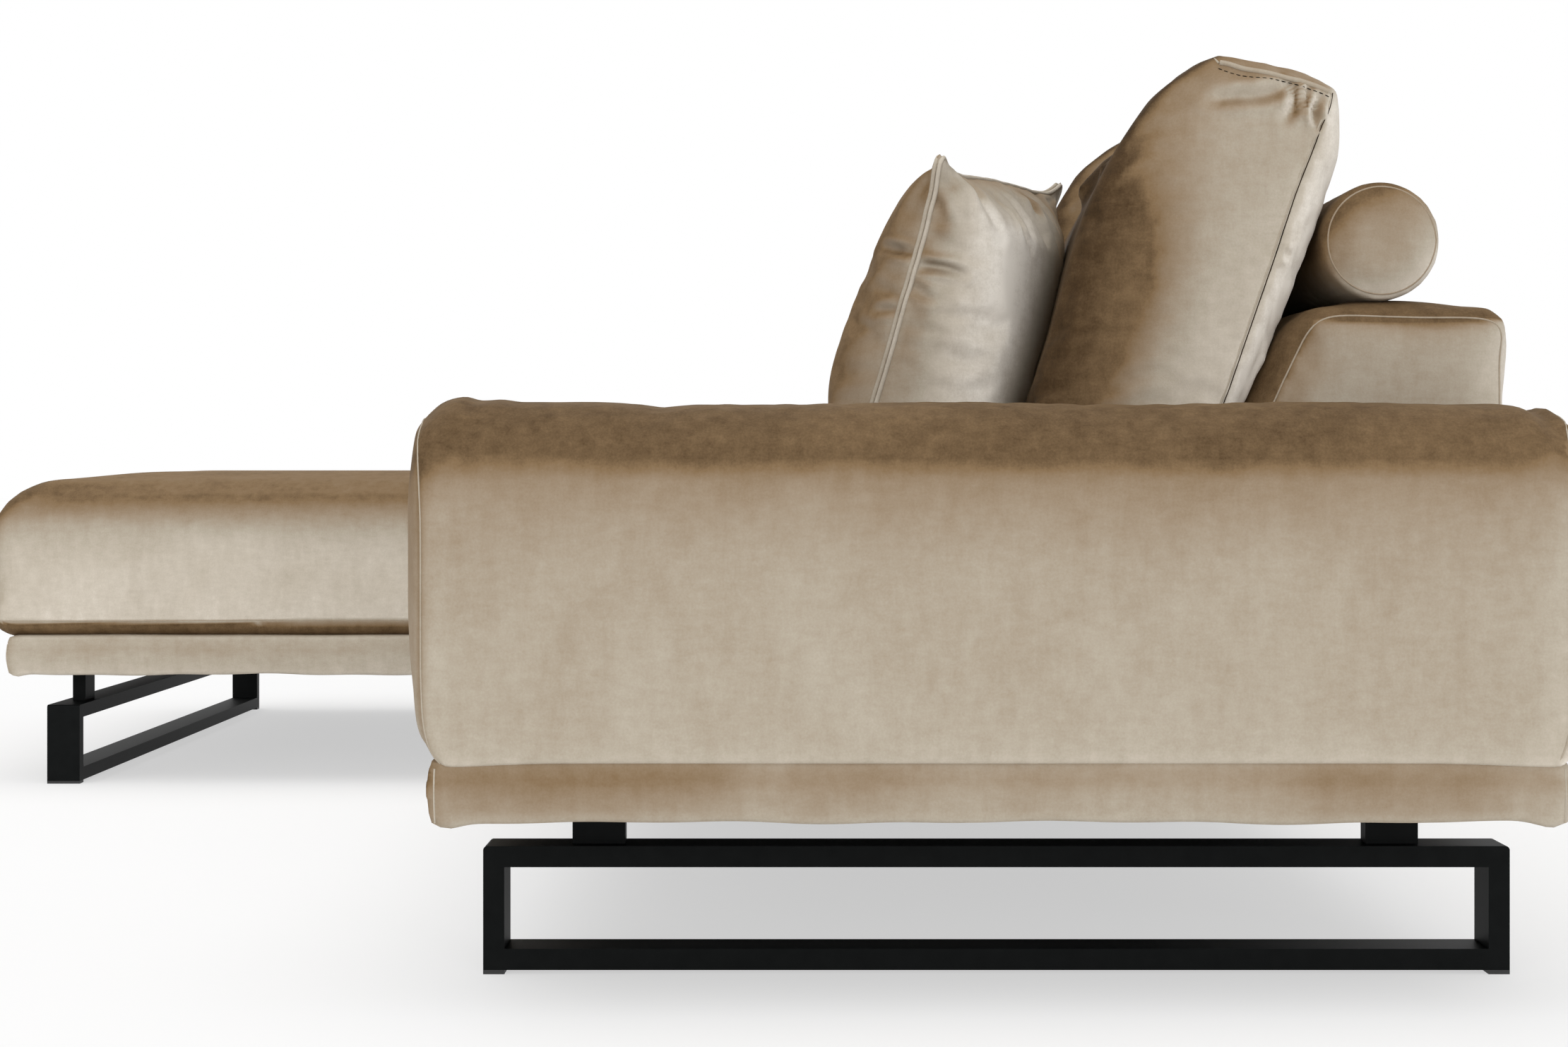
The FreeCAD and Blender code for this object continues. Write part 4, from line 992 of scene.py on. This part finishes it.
def tone_pillow():
    spots = points_of(pillow)
    away, _ = distance_to(spots, along(pillow_edge, 0.006))
    to_rear = (spots - pillow_edge.mean(0)) @ pillow_rear
    from_near = (arm_face_x - pillow_near - spots[:, 0]) / pillow_span
    # Painted shading: a painted highlight on the rear panel, painted shade where the pillow lies against the first
    # cushion, on its far part, on its front and in rippled patches by the near seam; the floor lets the shade by the
    # cushion go black.
    rear_highlight = ease(0.02, 0.055, to_rear) * ease(0.02, 0.09, away)
    contact_shade = np.exp(-(distance_from(pads[1], spots) / 0.020) ** 1.5)
    far_side_shade = ease(0.60, 0.95, from_near) * ease(0.0, 0.03, to_rear)
    seam_pucker_shade = ease(0.0, 0.02, to_rear) * np.exp(-(away / 0.030) ** 2) * (1 - ease(0.0, 0.25, from_near))
    ruffled = 0.6 + 0.4 * np.sin(spots[:, 2] * 95) * np.sin(spots[:, 2] * 41 + 1)
    shade = 0.22 * rear_highlight - 0.10 * ease(0.03, 0.08, -to_rear)
    shade -= 0.85 * contact_shade + 0.22 * far_side_shade + 0.16 * seam_pucker_shade * ruffled
    strokes = [(seen_on(pillow, pixels), width, tone) for pixels, width, tone in pillow_light_and_shade_strokes]
    paint_tone_and_shading(pillow, tone=0.02, fall=0.04, marks=strokes, shade=shade, detail=0.8, floor=0.13 * (1 - contact_shade) ** 2)


away, _ = distance_to(points_of(pillow), pillow_edge)
plump(pillow, 1 - ease(0.002, 0.012, away), growth=0.045, pressure=3, cap=0.010, keep=0.0)
refine(pillow)
for pixels, width, depth in pillow_creases:
    crease(pillow, seen_on(pillow, pixels), width, depth)
keep_clear(pillow, [pads[1], seat_1], gap=0.002)
tone_pillow()
finish_cloth(pillow, ["throw_pillow"], "throw_pillow")
edge = settle_on(pillow, pillow_edge, lift=0.0)
close_seams("pillow_seams", [
    lay_seam("pillow_front_welt", cord, [edge - welt_gap], {"Thickness": 0.0044, "Tone": 0.50}),
    lay_seam("pillow_rear_welt", cord, [edge + welt_gap], {"Thickness": 0.0048, "Tone": 0.60})], "throw_pillow")

# Base covers: padded cloth over the rails, sewn at the corners, where it hangs a little lower
main_panels = ["main_front_base_panel", "main_back_base_panel", "main_arm_end_base_panel"]
chaise_panels = ["chaise_front_base_panel", "chaise_back_base_panel", "chaise_inner_base_panel",
                 "chaise_outer_base_panel"]
# Darker patches on the cover: their middle line, width and tone
main_patches = [
    ([(1.456, 0.00, 0.200), (1.456, 0.12, 0.195), (1.456, 0.20, 0.205)], 0.035, -0.14),
    ([(1.456, 0.30, 0.190), (1.456, 0.36, 0.200)], 0.03, -0.06),
    ([(1.456, 0.74, 0.195), (1.456, 0.86, 0.192)], 0.035, -0.12)]
chaise_patches = [
    ([(-0.6, -0.962, 0.200), (-0.4, -0.962, 0.195)], 0.05, -0.05),
    ([(-0.193, -0.7, 0.200), (-0.193, -0.5, 0.195)], 0.04, -0.06),
    ([(-0.193, -0.25, 0.198), (-0.193, -0.15, 0.202)], 0.035, -0.05),
    ([(-0.193, -0.86, 0.198), (-0.193, -0.80, 0.2)], 0.03, -0.05)]
seam_heights = (0.168, 0.18, 0.20, 0.216)


def inset_from(bound, low, distance):
    """A distance inward from the front or the back bound."""
    return bound + distance * (1 if bound == low else -1)


def make_base_cover(name, nodes, tone, patches, of_chaise):
    base = skin_of(name, nodes, voxel=0.0055)
    spots = points_of(base)
    x, y, z = spots.T
    boxes = [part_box(node) for node in nodes]
    low = np.min([box[0] for box in boxes], axis=0)
    high = np.max([box[1] for box in boxes], axis=0)
    corners = [(corner_x, corner_y) for corner_x in (low[0], high[0]) for corner_y in (low[1], high[1])]
    facing = evened(facing_of(base), threads_of(base), 2)
    for axis in (0, 1):
        for bound, side in ((low[axis], -1), (high[axis], 1)):
            short = np.abs(bound - spots[:, axis])
            outer = (short < 0.02) * ease(0.1, 0.5, facing[:, axis] * side)
            spots[:, axis] += side * outer * short * 0.7
    ripple = np.sin(x * 13 + y * 11) + 0.7 * np.sin(x * 29 - y * 31 + z * 40)
    spots += facing * np.array((1, 1, 0.4)) * (0.0008 * ripple + 0.0016)[:, None]
    under = 1 - ease(0.172, 0.195, z)
    droop = np.zeros(len(spots))
    for corner_x, corner_y in corners:
        droop = np.maximum(droop, bell(x, corner_x, 0.03) * bell(y, inset_from(corner_y, low[1], 0.015), 0.018))
    wave = np.sin(x * 23 + y * 17) + 0.8 * np.sin(x * 41 - y * 47)
    z -= under * (0.0020 + 0.0009 * wave + 0.0058 * droop)
    if of_chaise:
        z += 0.004 * ease(0.205, 0.222, z)
        y += 0.0065 * (1 - ease(0.0, 0.03, y - low[1]))
    place(base, spots)
    # Painted light on faces that look up, to soften the painted shade the facing rule gives them, and painted light
    # toward the bottom.
    paint_tone_and_shading(base, tone=tone, fall=0.06, marks=patches, shade=0.30 * ease(0.3, 0.9, facing[:, 2]), detail=1.0)
    finish_cloth(base, nodes, "sofa")
    sewn = corners if of_chaise else [corner for corner in corners if corner[0] == high[0]]
    lines = []
    for corner_x, corner_y in sewn:
        seam_y = inset_from(corner_y, low[1], 0.006)
        lines.append(settle_on(base, [(corner_x, seam_y, height) for height in seam_heights], lift=0.0))
    sofa_seams.append(lay_seam(name + "_seam", cord, lines, {"Thickness": 0.0018, "Tone": 0.52}))


make_base_cover("main_base_cover", main_panels, -0.12, main_patches, of_chaise=False)
make_base_cover("chaise_base_cover", chaise_panels, 0.02, chaise_patches, of_chaise=True)
close_seams("sofa_seams", sofa_seams, "sofa")

# Camera, light and floor
film_width = 36
lens = bpy.data.cameras.new("camera")
lens.sensor_width = film_width
lens.lens = focal / frame_width * film_width
lens.shift_x = (frame_width / 2 - axis_x) / frame_width
lens.shift_y = (axis_y - frame_height / 2) / frame_width
camera = bpy.data.objects.new("camera", lens)
camera.location = (arm_face_x + eye_distance, eye_y, eye_z)
camera.rotation_euler = (math.pi / 2, 0, math.pi / 2)
scene.collection.objects.link(camera)
scene.camera = camera


def lamp(name, toward, strength, spread):
    light = bpy.data.lights.new(name, "SUN")
    light.energy = strength
    light.angle = math.radians(spread)
    holder = bpy.data.objects.new(name, light)
    holder.rotation_euler = Vector(toward).to_track_quat("-Z", "Y").to_euler()
    scene.collection.objects.link(holder)


def either(tree, first, second):
    larger = tree.nodes.new("ShaderNodeMath")
    larger.operation = "MAXIMUM"
    tree.links.new(first, larger.inputs[0])
    tree.links.new(second, larger.inputs[1])
    return larger.outputs[0]


def plain_ray(tree):
    """1 for a ray from the camera, also through glass or off metal."""
    ray = tree.nodes.new("ShaderNodeLightPath")
    clear = either(tree, ray.outputs["Is Camera Ray"], ray.outputs["Is Transmission Ray"])
    return either(tree, clear, ray.outputs["Is Glossy Ray"])


lamp("right_light", (-1, -0.32, -0.06), strength=1.3, spread=40)
lamp("left_light", (-1, 0.45, -0.15), strength=0.8, spread=50)
lamp("top_light", (-0.1, 0.1, -1), strength=1.5, spread=80)

white = (1, 1, 1, 1)
studio = bpy.data.worlds.new("studio")
studio.use_nodes = True
air = studio.node_tree
level = air.nodes.new("ShaderNodeMapRange")
level.inputs["To Min"].default_value = 0.45
level.inputs["To Max"].default_value = 1.0
air.links.new(plain_ray(air), level.inputs["Value"])
air.links.new(level.outputs[0], air.nodes["Background"].inputs["Strength"])
air.nodes["Background"].inputs["Color"].default_value = white
scene.world = studio

floor_half = 60
floor_mesh = bpy.data.meshes.new("floor")
floor_mesh.from_pydata([(-floor_half, -floor_half, 0), (floor_half, -floor_half, 0), (floor_half, floor_half, 0),
                        (-floor_half, floor_half, 0)], [], [(0, 1, 2, 3)])
floor = shown("floor", floor_mesh)
pale, pale_shader = new_finish("pale_floor", 1.0)
join(pale, ramp(pale, mottle(pale, 2), [(0.0, (0.95, 0.95, 0.95, 1)), (1.0, (0.98, 0.98, 0.98, 1))]),
     pale_shader.inputs["Base Color"])
pale_shader.inputs["Specular IOR Level"].default_value = 0.0
shine = add_node(pale, "Emission", Color=white, Strength=1.0)
share = add_node(pale, "Math", operation="MULTIPLY")
share.inputs[1].default_value = 0.55
join(pale, plain_ray(pale.node_tree), share.inputs[0])
both = add_node(pale, "MixShader")
join(pale, share.outputs[0], both.inputs[0])
join(pale, pale_shader.outputs[0], both.inputs[1])
join(pale, shine.outputs[0], both.inputs[2])
join(pale, both.outputs[0], pale.node_tree.nodes["Material Output"].inputs["Surface"])
floor_mesh.materials.append(pale)
